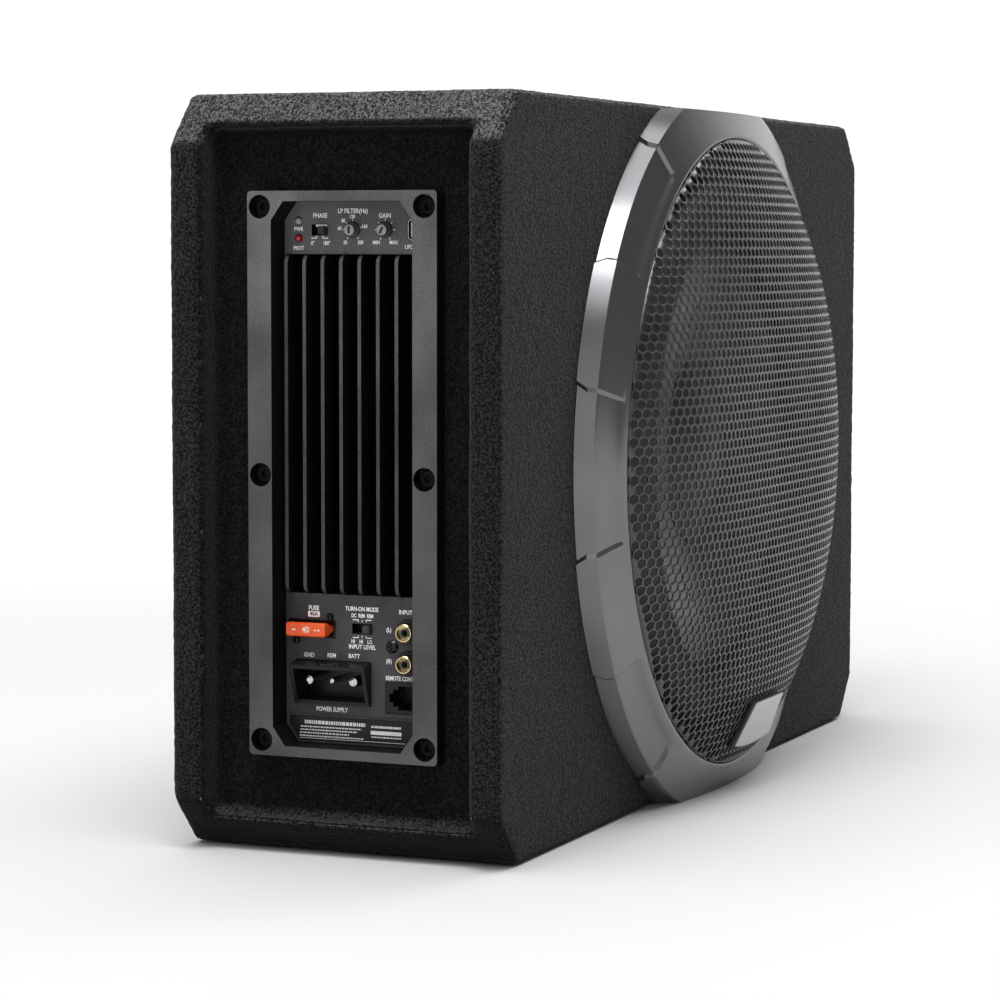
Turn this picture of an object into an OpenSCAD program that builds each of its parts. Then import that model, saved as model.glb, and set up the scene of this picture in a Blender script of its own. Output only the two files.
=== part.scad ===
// Powered car subwoofer: a carpeted box with chamfered ends, a slim woofer behind a
// domed grille on the front face (-Y), and an amplifier sunk into one end (-X).
// Millimetres, +Z up. The origin is at the middle of the whole part's footprint.

/* [Cabinet] */
// Length of the carpeted cabinet, end to end
cab_l = 532; // [500:1:600]
// Height of the cabinet
cab_h = 340; // [330:1:380]
// Depth of the cabinet, front face to back face
cab_d = 161; // [150:1:200]
// Length of each corner chamfer along the cabinet
chamfer_x = 21; // [15:1:30]
// Height of each corner chamfer
chamfer_z = 23; // [15:1:30]
// Thickness of the fibreboard panels
board = 12.7; // [12:0.1:16]
// Thickness of the carpet
carpet = 1.8; // [1:0.1:3]
// Depth of the bay that the amplifier sits in
bay_depth = 20; // [16:1:26]

/* [Woofer] */
// Offset of the woofer from the middle of the cabinet, away from the amplifier
woofer_x = 0; // [-10:0.5:10]
// Height of the woofer's axis above the floor
woofer_z = 169; // [167:0.5:170]
// Radius of the hole in the front baffle
cutout_r = 141; // [141:0.5:142]
// Outer radius of the basket flange
flange_r = 154; // [153:0.5:155]
// Middle radius of the surround's roll
roll_r = 124.5; // [124:0.5:125]
// How far the cone travels each way
cone_travel = 9; // [4:0.5:9]

/* [Trim ring and grille] */
// Outer radius of the trim ring at the cabinet
ring_r = 180.8; // [178:0.2:184]
// Radius of the ring's opening
ring_open_r = 156; // [155.5:0.5:157]
// Height of the ring's side wall
ring_side_h = 9.4; // [8:0.2:11]
// Height of the ring at its opening
ring_h = 17.4; // [16:0.2:20]
// Depth of the shallow pockets round the ring
pocket_depth = 1.5; // [0.8:0.1:2]
// Angle that each pocket covers
pocket_angle = 25; // [20:1:30]
// Rise of the grille from its rim to its middle
dome_h = 26; // [24:1:34]

/* [Amplifier plate] */
// Width of the plate
plate_w = 92; // [90:1:96]
// Height of the plate
plate_h = 252; // [250:1:256]
// How far the plate's face stands out of the bay's floor
plate_proud = 9; // [8:0.5:10]
// Width of the sunken tray
tray_w = 68.6; // [68:0.2:70]
// Height of the sunken tray
tray_h = 242.8; // [242:0.2:244]
// Depth of the tray's panel below the plate's face
tray_depth = 14; // [13:0.5:15]
// Number of cooling fins
fin_count = 8; // [4:1:8]
// Distance between fins
fin_pitch = 9; // [8.5:0.1:9]
// Thickness of a fin
fin_t = 1.7; // [1.2:0.1:2.2]

/* [Controls] */
// Travel of the two-position phase switch
phase_travel = 4; // [3:0.1:4]
// Travel of the three-position turn-on switch
mode_travel = 6; // [5:0.2:6]
// Centre distance of the two signal sockets
rca_pitch = 14.1; // [13:0.1:15]

/* [Hidden] */
$fn = 96;
eps = 0.01;
gap = 0.1;                      // clearance of a fitted piece, each side

// ---- Cabinet places
half_l = cab_l / 2;
skin = carpet + board;
proud = ring_h + dome_h;        // how far the grille stands out of the front
front_y = proud - (cab_d + proud) / 2;
back_y = front_y + cab_d;
board_front_y = front_y + carpet;
inner_y0 = front_y + skin;
inner_y1 = back_y - skin;
mid_y = (front_y + back_y) / 2;
mid_z = cab_h / 2;

// Corners of the end view, moved in by d on every side
chamfer_len = sqrt(chamfer_x * chamfer_x + chamfer_z * chamfer_z);
function flat_end_x(d) = half_l - chamfer_x - d * (chamfer_len - chamfer_x) / chamfer_z;
function flat_end_z(d) = cab_h - chamfer_z - d * (chamfer_len - chamfer_z) / chamfer_x;
function outline(d) = [
    [-flat_end_x(d), d], [flat_end_x(d), d],
    [half_l - d, cab_h - flat_end_z(d)], [half_l - d, flat_end_z(d)],
    [flat_end_x(d), cab_h - d], [-flat_end_x(d), cab_h - d],
    [d - half_l, flat_end_z(d)], [d - half_l, cab_h - flat_end_z(d)]
];

// Points of an arc, from angle a0 to a1
function arc(r, a0, a1, n, cx = 0, cy = 0) =
    [for (i = [0 : n]) [cx + r * cos(a0 + (a1 - a0) * i / n), cy + r * sin(a0 + (a1 - a0) * i / n)]];
// A rectangle with round corners, as points
function round_rect(w, h, r, n = 4) = concat(
    arc(r, 0, 90, n, w / 2 - r, h / 2 - r), arc(r, 90, 180, n, r - w / 2, h / 2 - r),
    arc(r, 180, 270, n, r - w / 2, r - h / 2), arc(r, 270, 360, n, w / 2 - r, r - h / 2));
// A rectangle with cut corners, as points
function cut_rect(w, h, cx, cy) = [
    [w / 2, cy - h / 2], [w / 2, h / 2 - cy], [w / 2 - cx, h / 2], [cx - w / 2, h / 2],
    [-w / 2, h / 2 - cy], [-w / 2, cy - h / 2], [cx - w / 2, -h / 2], [w / 2 - cx, -h / 2]];

// A flat shape in the front view, thickened from y0 to y1
module slab(y0, y1) translate([0, y1, 0]) rotate([90, 0, 0]) linear_extrude(y1 - y0) children();
// A box between two corners
module block(lo, hi) translate(lo) cube([hi[0] - lo[0], hi[1] - lo[1], hi[2] - lo[2]]);
// The woofer's own frame: its axis is local Z, zero at the baffle's face, positive into the box
module woofer_frame() translate([woofer_x, board_front_y, woofer_z]) rotate([-90, 0, 0]) children();
// The trim's frame: local Z points out of the front, zero at the carpet's face
module trim_frame() translate([woofer_x, front_y, woofer_z]) rotate([90, 0, 0]) children();
// A solid of revolution from points [radius, height]
module turned(points) rotate_extrude() polygon(points);

// Woofer flange: the woofer's axis is local Z, zero at the baffle's face
flange_t = 4;
basket_gasket_t = 1.5;
flange_face = -flange_t - basket_gasket_t;
cover_back_z = -78;             // back of the amplifier's cover, from the plate's face

// ---- Cabinet boards
bay_floor_x = bay_depth - half_l;             // carpet surface of the bay's floor
end_board_x = bay_floor_x + carpet;           // outer face of the end board

woofer_screw_r = 147.5;
woofer_screw_hole_r = 2.3;
module woofer_screw_places() for (i = [0 : 7]) rotate([0, 0, 22.5 + 45 * i])
    translate([woofer_screw_r, 0, 0]) children();

module front_baffle() color("tan") difference() {
    slab(board_front_y, inner_y0) polygon(outline(carpet));
    woofer_frame() translate([0, 0, -1]) cylinder(r = cutout_r, h = board + 2);
    woofer_frame() woofer_screw_places() translate([0, 0, -1])
        cylinder(r = woofer_screw_hole_r, h = board + 2, $fn = 24);
}

module back_panel() color("tan") slab(inner_y1, back_y - carpet) polygon(outline(carpet));

// The board that runs along the top, bevelled at the bay's end
module long_board() slab(inner_y0, inner_y1) intersection() {
    polygon(outline(carpet));
    translate([-half_l, cab_h - skin]) square([half_l + flat_end_x(skin), skin]);
}
module top_panel() color("tan") long_board();
module bottom_panel() color("tan") translate([0, 0, cab_h]) mirror([0, 0, 1]) long_board();

module far_end_panel() color("tan")
    block([half_l - skin, inner_y0, cab_h - flat_end_z(skin)],
          [half_l - carpet, inner_y1, flat_end_z(skin)]);

module corner_strip() slab(inner_y0, inner_y1) polygon([
    [flat_end_x(skin), cab_h - skin], [flat_end_x(skin), cab_h - carpet],
    [flat_end_x(carpet), cab_h - carpet], [half_l - carpet, flat_end_z(carpet)],
    [half_l - carpet, flat_end_z(skin)], [half_l - skin, flat_end_z(skin)]]);
module corner_strips() color("tan") {
    corner_strip();
    translate([0, 0, cab_h]) mirror([0, 0, 1]) corner_strip();
}

// ---- Carpet
carpet_hole_r = 156;
module carpet_front() color([0.13, 0.13, 0.13]) difference() {
    slab(front_y, board_front_y) polygon(outline(0));
    woofer_frame() translate([0, 0, -carpet - 1]) cylinder(r = carpet_hole_r, h = carpet + 2);
}
module carpet_back() color([0.13, 0.13, 0.13]) slab(back_y - carpet, back_y) polygon(outline(0));
module carpet_bottom() color([0.13, 0.13, 0.13])
    block([-flat_end_x(0), board_front_y, 0], [flat_end_x(0), back_y - carpet, carpet]);
module carpet_wrap() color([0.13, 0.13, 0.13]) difference() {
    slab(board_front_y, back_y - carpet) difference() {
        polygon(outline(0));
        polygon(outline(carpet));
        translate([-flat_end_x(0), -1]) square([2 * flat_end_x(0), carpet + 1]);
    }
    block([-half_l - 1, inner_y0, skin], [bay_floor_x, inner_y1, cab_h - skin]);
}
// The lining of the bay: its four sides and its floor round the amplifier
module carpet_bay() color([0.12, 0.12, 0.12]) difference() {
    intersection() {
        slab(inner_y0, inner_y1) polygon(outline(0));
        block([-half_l, inner_y0, skin], [end_board_x, inner_y1, cab_h - skin]);
    }
    block([-half_l - 1, inner_y0 + carpet, skin + carpet],
          [bay_floor_x, inner_y1 - carpet, cab_h - skin - carpet]);
    amp_frame() translate([0, 0, -rim_t - 5]) linear_extrude(10)
        square([plate_w - 1, plate_h - 1], center = true);
}

// ---- Trim ring, grille and badge
ring_top_r = ring_r - 1;              // the side wall leans in by this much
ring_lip_r = ring_open_r + 1.5;       // outer edge of the flat lip
face_slope = (ring_h - ring_side_h) / (ring_top_r - ring_lip_r);
pocket_in_r = ring_lip_r + 5;         // where a pocket's floor ends
pocket_edge_r = ring_lip_r + 2.5;                  // top of the bevel at a pocket's inner edge
pocket_drop = pocket_depth * 1.05;    // the depth measured along the ring's axis
function face_h(r) = ring_side_h + (ring_top_r - r) * face_slope;

module trim_ring() color([0.45, 0.46, 0.47]) intersection() {
    trim_frame() difference() {
        turned([[ring_open_r, 0], [ring_r, 0], [ring_top_r, ring_side_h],
                [ring_lip_r, ring_h], [ring_open_r, ring_h]]);
        for (side = [0, 180], turn = [-45, 0, 45]) rotate([0, 0, side + turn - pocket_angle / 2])
            rotate_extrude(angle = pocket_angle) polygon([
                [ring_r - pocket_depth, -1],
                [ring_top_r - pocket_depth, face_h(ring_top_r - pocket_depth) - pocket_drop],
                [pocket_in_r, face_h(pocket_in_r) - pocket_drop],
                [pocket_edge_r, face_h(pocket_edge_r) + eps],
                [pocket_edge_r, ring_h + 3], [ring_r + 5, ring_h + 3], [ring_r + 5, -1]]);
    }
    block([-half_l, front_y - ring_h - 1, 0], [half_l, front_y + 1, 2 * woofer_z]);
}

grille_r = ring_open_r - 0.2;
grille_t = 1.2;
grille_foot_r = 152.5;                // inner edge of the foot, on the woofer's flange
dome_power = 4;                       // flat in the middle, steep at the rim
dome_steps = 20;
function dome(r) = ring_h + dome_h * (1 - pow(r / grille_r, dome_power));
// The dome's outer outline from the rim to the middle
dome_line = [for (i = [dome_steps : -1 : 0]) [grille_r * i / dome_steps, dome(grille_r * i / dome_steps)]];
dome_line_in = [for (i = [0 : dome_steps - 1])
    [grille_r * i / dome_steps, dome(grille_r * i / dome_steps) - grille_t]];
grille_foot_h = -flange_face - carpet;

module grille() color([0.2, 0.2, 0.21]) trim_frame() turned(concat(
    [[grille_foot_r, grille_foot_h], [grille_r, grille_foot_h]],
    dome_line, dome_line_in,
    [[grille_r - grille_t, ring_h - 0.6], [grille_r - grille_t, grille_foot_h + grille_t],
     [grille_foot_r, grille_foot_h + grille_t]]));

badge_top_r = 123;          // distance of the badge's top edge below the woofer's axis
badge_foot_r = 147.5;       // radius of its round lower edge
badge_half_top = 21.5;
badge_half_foot = 27.5;
badge_t = 3;
badge_tilt = 23.2;
badge_corner_a = asin(badge_half_foot / badge_foot_r);
module badge() color([0.75, 0.75, 0.75]) trim_frame() difference() {
    intersection() {
        linear_extrude(proud) polygon(concat(
            [[badge_half_top, -badge_top_r], [-badge_half_top, -badge_top_r]],
            arc(badge_foot_r, 270 - badge_corner_a, 270 + badge_corner_a, 10)));
        translate([-50, -badge_top_r, dome(badge_top_r) + badge_t]) rotate([badge_tilt, 0, 0])
            translate([0, -60, -60]) cube([100, 80, 60]);
    }
    turned(concat([[0, 0], [grille_r, 0]], [for (p = dome_line) [p[0], p[1] + 0.02]]));
}

// ---- Woofer
shelf_z = 28.4;                                   // spider shelf
base_z = 44;                                      // back face of the basket
steel_t = 1.6;

module basket() color([0.1, 0.1, 0.1]) woofer_frame() difference() {
    turned([
        [cutout_r - 2.3, flange_face], [flange_r, flange_face], [flange_r, -basket_gasket_t],
        [cutout_r - 0.7, -basket_gasket_t], [cutout_r - 0.7, 4.9],
        [70, shelf_z + steel_t], [60, shelf_z + steel_t], [60, base_z], [36, base_z],
        [36, base_z - steel_t], [60 - steel_t, base_z - steel_t], [60 - steel_t, shelf_z],
        [69.6, shelf_z], [cutout_r - 2.3, 3.9]]);
    woofer_screw_places() translate([0, 0, flange_face - 1])
        cylinder(r = woofer_screw_hole_r, h = flange_t + 2, $fn = 24);
    // windows between the spokes
    for (i = [0 : 5]) rotate([0, 0, 60 * i + 30])
        translate([100, 0, 0]) block([-18, -28, 0], [28, 28, shelf_z + 5]);
}

module basket_gasket() color([0.05, 0.05, 0.05]) woofer_frame() difference() {
    translate([0, 0, -basket_gasket_t]) cylinder(r = flange_r - 1, h = basket_gasket_t);
    translate([0, 0, -basket_gasket_t - 1]) cylinder(r = cutout_r + 1, h = basket_gasket_t + 2);
    woofer_screw_places() translate([0, 0, -basket_gasket_t - 1])
        cylinder(r = woofer_screw_hole_r, h = basket_gasket_t + 2, $fn = 24);
}

module woofer_screws() color([0.08, 0.08, 0.08]) woofer_frame() woofer_screw_places() difference() {
    turned([[0, flange_face - 2.4], [3.2, flange_face - 2.4], [4.1, flange_face - 1.4], [4.1, flange_face],
            [2.2, flange_face], [2.2, 9], [0.6, 11.5], [0, 11.5]], $fn = 24);
    cross_slot(flange_face - 2.5, 1.5, 4.2, 1);
}
// A cross recess, cut from z by the given depth
module cross_slot(z, depth, length, width) translate([0, 0, z]) for (a = [0, 90]) rotate([0, 0, a])
    translate([-length / 2, -width / 2, 0]) cube([length, width, depth]);

roll_out = 14;                  // outer radius of the roll's section
roll_t = 1.5;                   // thickness of the rubber
lip_t = 1.2;
module surround() color([0.07, 0.07, 0.07]) woofer_frame() turned(concat(
    [[roll_r + roll_out + 2.2, flange_face], [roll_r + roll_out + 2.2, flange_face - lip_t]],
    arc(roll_out, 0, -180, 14, roll_r, flange_face - lip_t),
    [[roll_r - roll_out - 3, flange_face - lip_t], [roll_r - roll_out - 3, flange_face - 0.1],
     [roll_r - roll_out + roll_t, flange_face - 0.1]],
    arc(roll_out - roll_t, -180, 0, 14, roll_r, flange_face - lip_t),
    [[roll_r + roll_out - roll_t, flange_face]]));

cone_out_r = roll_r - roll_out + 1;              // edge of the cone, under the surround's lip
ridge_r = 85;                                    // the raised ring
ridge_z = -12.6;
dish_r = 45;
dish_z = 4;
neck_r = 32.5;
neck_z = 9;
paper_t = 1.3;
module cone() color([0.25, 0.25, 0.26]) woofer_frame() turned([
    [cone_out_r, flange_face], [cone_out_r, flange_face + paper_t],
    [roll_r - roll_out - 4, flange_face + paper_t], [ridge_r + 1.4, ridge_z + paper_t + 0.4],
    [ridge_r - 1.4, ridge_z + paper_t + 0.4], [dish_r, dish_z + paper_t + 0.3],
    [neck_r + 1.6, neck_z + 3], [neck_r, neck_z + 3], [neck_r, neck_z], [dish_r - 0.6, dish_z],
    [ridge_r - 2.2, ridge_z + 0.5], [ridge_r - 0.8, ridge_z - 0.2], [ridge_r + 0.8, ridge_z - 0.2],
    [ridge_r + 2.2, ridge_z + 0.5], [roll_r - roll_out - 3.2, flange_face - 0.6],
    [roll_r - roll_out - 3.2, flange_face]]);

cap_r = 46;
cap_rise = 8;
cap_ball_r = (cap_r * cap_r + cap_rise * cap_rise) / (2 * cap_rise);
cap_half_a = asin(cap_r / cap_ball_r);
cap_z = 2.6;
module dust_cap() color([0.2, 0.2, 0.21]) woofer_frame() turned(concat(
    arc(cap_ball_r, -90, cap_half_a - 90, 10, 0, cap_z - cap_rise + cap_ball_r),
    arc(cap_ball_r - 0.8, cap_half_a - 90, -90, 10, 0, cap_z - cap_rise + cap_ball_r)));

cloth_t = 0.7;
spider_z = shelf_z - cloth_t;
spider_in_r = neck_r;
spider_out_r = 67;
spider_steps = 40;
wave_r0 = 35.5;
wave_r1 = 57.5;
half_waves = 7;
wave_height = 1.4;
function spider_wave(r) = r < wave_r0 || r > wave_r1 ? 0 :
    -wave_height * sin(180 * half_waves * (r - wave_r0) / (wave_r1 - wave_r0));
spider_line = [for (i = [0 : spider_steps])
    let (r = spider_in_r + (spider_out_r - spider_in_r) * i / spider_steps)
    [r, spider_z + spider_wave(r)]];
module spider() color([0.75, 0.6, 0.3]) woofer_frame() turned(concat(
    [for (p = spider_line) [p[0], p[1] + cloth_t]],
    [for (i = [spider_steps : -1 : 0]) spider_line[i]]));

former_in_r = 31.6;
former_out_r = neck_r;
former_end_z = 58;
winding_out_r = 33.9;
module tube(r_in, r_out, z0, z1) difference() {
    translate([0, 0, z0]) cylinder(r = r_out, h = z1 - z0);
    translate([0, 0, z0 - 1]) cylinder(r = r_in, h = z1 - z0 + 2);
}
winding_z = 38;
module coil_former() color([0.8, 0.65, 0.3]) woofer_frame()
    tube(former_in_r, former_out_r, neck_z, former_end_z);
module coil_winding() color([0.72, 0.4, 0.2]) woofer_frame()
    tube(former_out_r, winding_out_r, winding_z, former_end_z);

pole_r = 30;
magnet_r = 72;
plate_t = 8;
magnet_t = 20;
module top_plate() color([0.6, 0.6, 0.62]) woofer_frame() tube(34.6, 62, base_z, base_z + plate_t);
module magnet() color([0.18, 0.18, 0.19]) woofer_frame()
    tube(42, magnet_r, base_z + plate_t, base_z + plate_t + magnet_t);
module pole_plate() color([0.6, 0.6, 0.62]) woofer_frame() difference() {
    turned([[7, base_z], [pole_r, base_z], [pole_r, base_z + plate_t + magnet_t],
            [magnet_r, base_z + plate_t + magnet_t], [magnet_r, base_z + 2 * plate_t + magnet_t - 1],
            [magnet_r - 1.5, base_z + 2 * plate_t + magnet_t], [12, base_z + 2 * plate_t + magnet_t],
            [7, base_z + 2 * plate_t + magnet_t - 5]]);
}

// A block with two spade tabs, on the side of the basket that faces the amplifier
lead_spread = 4.8;
terminal_x = 60.2;
tab_x = 68;
tab_z = 36.8;
module terminal_block() color([0.12, 0.12, 0.12]) woofer_frame() {
    block([-tab_x, -9, shelf_z + steel_t], [-terminal_x, 9, base_z - 1]);
    for (s = [-1, 1])
        block([-tab_x - 5, s * lead_spread - 2.4, tab_z - 0.8], [-tab_x, s * lead_spread + 2.4, tab_z]);
}

// Leads from the amplifier's cover to the woofer
lead_r = 1.2;
lead_sides = 8;
lead_exit_x = bay_floor_x - plate_proud - cover_back_z;       // back of the amplifier's cover
lead_end_y = board_front_y + tab_z + lead_r;
// Rings: distance from the cover, depth from the cabinet's middle, sag below the woofer's axis
function lead_route(s) = concat(
    [for (p = [[-34, 0, 0], [-28, 0, 0], [-22, 0, 0], [-16, 0, 0], [-10, 0, 0], [-4, 0, 0],
               [2, 0, 0], [8, 0, 0], [14, -1, 1], [20, -3, 3], [26, -6, 6], [32, -10, 9],
               [38, -14, 12], [44, -18, 14], [50, -22, 15],
               [56, -26, 16], [62, -29, 15], [68, -32, 14], [74, -34, 11]])
        [lead_exit_x + p[0], mid_y + p[1], mid_z - p[2] + 4 * s]],
    [for (p = [[-27, 0.6, 7], [-21, 0.2, 4], [-15, 0, 1.5], [-9, 0, 0], [-3, 0, 0], [2.5, 0, 0]])
        [woofer_x - tab_x - 5 + p[0], lead_end_y + p[1], woofer_z - p[2] + lead_spread * s]]);
function unit(v) = v / norm(v);
function lead_dir(path, i) = unit(path[min(i + 1, len(path) - 1)] - path[max(i - 1, 0)]);
function lead_ring(path, i) = let (d = lead_dir(path, i), u = unit(cross(d, [0, 0, 1])), w = cross(u, d))
    [for (k = [0 : lead_sides - 1]) let (a = 360 * k / lead_sides)
        path[i] + lead_r * (u * cos(a) + w * sin(a))];
module lead(path) polyhedron(
    points = [for (i = [0 : len(path) - 1]) each lead_ring(path, i)],
    faces = concat(
        [[for (k = [lead_sides - 1 : -1 : 0]) k]],
        [for (i = [0 : len(path) - 2], k = [0 : lead_sides - 1])
            let (a = i * lead_sides + k, b = i * lead_sides + (k + 1) % lead_sides)
            each [[a, b, b + lead_sides], [a, b + lead_sides, a + lead_sides]]],
        [[for (k = [0 : lead_sides - 1]) (len(path) - 1) * lead_sides + k]]));
module speaker_leads() color([0.6, 0.1, 0.1]) for (s = [-1, 1]) lead(lead_route(s));

// ---- Amplifier. Its own frame: local X runs right and Y up as the end is seen, Z out of
// the cabinet, zero at the plate's face
rim_t = plate_proud - 0.2;                   // thickness of the plate's rim
module amp_frame() translate([bay_floor_x - plate_proud, mid_y, mid_z]) rotate([90, 0, -90]) children();
board_w = -plate_proud - carpet;             // outer face of the end board, local Z
panel_z = -tray_depth;                       // face of the control panel
panel_back_z = panel_z - 2.5;
tray_wall = 1.8;
tray_cut_x = 6;
tray_cut_y = 8.4;

well_lo = -53.7;                             // ends of the fin well
well_hi = 98.1;
well_w = 66.8;
well_floor_z = -30;
fin_front_z = -9.2;
fin_corner_r = 4.5;

screw_x = 39.9;
screw_y = 119;
counterbore_r = 5.25;
counterbore_z = -6.8;          // floor of a screw's counterbore
screw_head_t = 2.5;
module plate_screw_places() for (sx = [-1, 1], sy = [-1, 0, 1])
    translate([sx * screw_x, sy * screw_y, 0]) children();

// Places on the panel
led_x = -27.4;
led_y = [112.8, 105.2];
knob_y = 108.8;
filter_x = -0.8;
gain_x = 15;
phase_x = -17;
service_x = 27.4;
fuse_x = -21.3;
fuse_y = -69.5;
mode_x = 3.4;
mode_y = -68.7;
rca_x = 25.9;
rca_y = -76.25;
ground_screw = [18.3, -76];
fuse_screws = [[-12.4, -64], [-29, -75]];
inlet_x = -10.9;
inlet_y = -93.5;
remote_x = 22.9;
remote_y = -99;
label_y = -114.6;

phase_slot = [7.8, 5];
mode_slot = [9.8, 4.6];
service_slot = [3.6, 9.6];
fuse_slot = [23.4, 8.2];
inlet_size = [37, 19.6];
remote_size = [16, 14];
rca_boss_r = 5.6;
knob_hole_r = 2.9;
led_r = 1.65;

module sheet_at(z0, z1) translate([0, 0, z0]) linear_extrude(z1 - z0) children();
module rect_hole(x, y, size) translate([x, y, 0]) square(size, center = true);

module panel_openings() {
    for (y = led_y) translate([led_x, y]) circle(r = led_r + 0.3, $fn = 24);
    for (x = [filter_x, gain_x]) translate([x, knob_y]) circle(r = knob_hole_r, $fn = 32);
    rect_hole(phase_x, knob_y, phase_slot);
    translate([service_x, knob_y])
        polygon(round_rect(service_slot[0], service_slot[1], service_slot[0] / 2 - eps));
    rect_hole(fuse_x, fuse_y, fuse_slot);
    rect_hole(mode_x, mode_y, mode_slot);
    for (s = [-1, 1]) translate([rca_x, rca_y + s * rca_pitch / 2]) circle(r = rca_boss_r + 0.2, $fn = 48);
    rect_hole(inlet_x, inlet_y, [inlet_size[0] + 0.4, inlet_size[1] + 0.4]);
    rect_hole(remote_x, remote_y, [remote_size[0] + 0.4, remote_size[1] + 0.4]);
    translate(ground_screw) circle(r = 1.6, $fn = 24);
    for (p = fuse_screws) translate(p) circle(r = 1.1, $fn = 24);
}

// One fin: a plate whose front corners are round
module fin() rotate([0, -90, 0]) translate([0, 0, -fin_t / 2]) linear_extrude(fin_t) polygon(concat(
    [[well_floor_z - 1, well_hi + 1], [well_floor_z - 1, well_lo - 1], [panel_z, well_lo - 1]],
    arc(fin_corner_r, 270, 360, 5, fin_front_z - fin_corner_r, well_lo + fin_corner_r),
    arc(fin_corner_r, 0, 90, 5, fin_front_z - fin_corner_r, well_hi - fin_corner_r),
    [[panel_z, well_hi + 1]]));

label_w = 64;
label_h = 10.9;
label_cut = [5, 7];
function label_outline(grow) = let (w = label_w / 2 + grow, h = label_h / 2 + grow) [
    [w, h], [-w, h], [-w, label_cut[1] - h],
    [label_cut[0] - w, -h], [w - label_cut[0], -h], [w, label_cut[1] - h]];

module amp_plate() color([0.3, 0.3, 0.31]) amp_frame() {
    difference() {
        union() {
            sheet_at(-rim_t, 0) polygon(round_rect(plate_w, plate_h, 2));
            sheet_at(panel_back_z, -rim_t)
                square([tray_w + 2 * tray_wall, tray_h + 2 * tray_wall], center = true);
            translate([-well_w / 2 - 1.1, well_lo - 2, well_floor_z - 4])
                cube([well_w + 2.2, well_hi - well_lo + 4, panel_back_z - well_floor_z + 4 + eps]);
        }
        sheet_at(panel_z, 1) polygon(cut_rect(tray_w, tray_h, tray_cut_x, tray_cut_y));
        translate([-well_w / 2, well_lo, well_floor_z])
            cube([well_w, well_hi - well_lo, panel_z - well_floor_z + 1]);
        sheet_at(panel_back_z - 1, panel_z + 1) panel_openings();
        plate_screw_places() translate([0, 0, -rim_t - 1]) cylinder(r = 2.2, h = rim_t + 2, $fn = 32);
        plate_screw_places() translate([0, 0, counterbore_z])
            cylinder(r = counterbore_r, h = 1 - counterbore_z, $fn = 48);
    }
    for (i = [0 : fin_count - 1]) translate([(i - (fin_count - 1) / 2) * fin_pitch, 0, 0]) fin();
    // raised frame round the rating label
    translate([0, label_y, 0]) sheet_at(panel_z - eps, panel_z + 0.7) difference() {
        polygon(label_outline(0.9));
        polygon(label_outline(0.2));
    }
}

module plate_gasket() color([0.05, 0.05, 0.05]) amp_frame() difference() {
    sheet_at(board_w, -rim_t) difference() {
        square([plate_w - 1.4, plate_h - 1.4], center = true);
        square([tray_w + 2 * tray_wall + 1, tray_h + 2 * tray_wall + 1], center = true);
    }
    plate_screw_places() translate([0, 0, board_w - 1]) cylinder(r = 2.3, h = 6, $fn = 32);
}

module plate_screws() color([0.03, 0.03, 0.03]) amp_frame() plate_screw_places() difference() {
    turned([[0, counterbore_z + screw_head_t], [3.6, counterbore_z + screw_head_t],
            [4.4, counterbore_z + screw_head_t - 0.9], [4.4, counterbore_z], [2.1, counterbore_z],
            [2.1, -20], [0.6, -22.5], [0, -22.5]], $fn = 32);
    translate([0, 0, counterbore_z + 0.7]) cylinder(r = 1.9, h = 3, $fn = 6);
}

// The end board, cut for the amplifier
module amp_end_panel() color("tan") difference() {
    block([end_board_x, inner_y0, skin], [end_board_x + board, inner_y1, cab_h - skin]);
    amp_frame() sheet_at(board_w - board - 1, board_w + 1)
        square([tray_w + 2 * tray_wall + 0.6, tray_h + 2 * tray_wall + 0.6], center = true);
    amp_frame() plate_screw_places() translate([0, 0, board_w - board - 1])
        cylinder(r = 2.2, h = board + 2, $fn = 32);
}

cover_w = tray_w + 2 * tray_wall;
cover_h = tray_h + 2 * tray_wall;
cover_t = 1.4;
module amp_cover() color([0.08, 0.08, 0.08]) amp_frame() difference() {
    sheet_at(cover_back_z, panel_back_z) square([cover_w, cover_h], center = true);
    sheet_at(cover_back_z + cover_t, panel_back_z + 1)
        square([cover_w - 2 * cover_t, cover_h - 2 * cover_t], center = true);
    // cooling slots in the back
    for (i = [-3 : 3]) rect_slot(i * 8, 70);
    // exits of the speaker leads
    for (s = [-1, 1]) translate([0, 4 * s, cover_back_z - 1]) cylinder(r = 1.5, h = 4, $fn = 24);
}
module rect_slot(x, y) translate([x - 1.2, y - 15, cover_back_z - 1]) cube([2.4, 30, 4]);

main_board_z = -43.6;
circuit_t = 1.6;
module main_board() color([0.05, 0.25, 0.1]) amp_frame() sheet_at(main_board_z, main_board_z + circuit_t)
    square([cover_w - 2 * cover_t - 1, cover_h - 2 * cover_t - 2], center = true);

transistor_z = well_floor_z - 4;
module transistor() {
    block([-5.2, -7.6, transistor_z - 4.6], [5.2, 7.6, transistor_z - gap]);
    for (i = [-1 : 1]) translate([2.54 * i, -9.4, transistor_z - 3.4]) {
        block([-0.4, 0, 0], [0.4, 2.4, 0.8]);
        block([-0.4, 0, -4.6], [0.4, 0.8, 0.1]);
    }
}
module power_transistors() color([0.06, 0.06, 0.06]) amp_frame()
    for (x = [-18, 0, 18], y = [-30, 0, 40, 70]) translate([x, y, 0]) transistor();

toroid_r = 17;
toroid_tube_r = 8;
module toroid() color([0.7, 0.45, 0.2]) amp_frame() translate([0, -34, main_board_z - toroid_tube_r])
    rotate_extrude() translate([toroid_r, 0]) circle(r = toroid_tube_r, $fn = 32);

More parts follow.
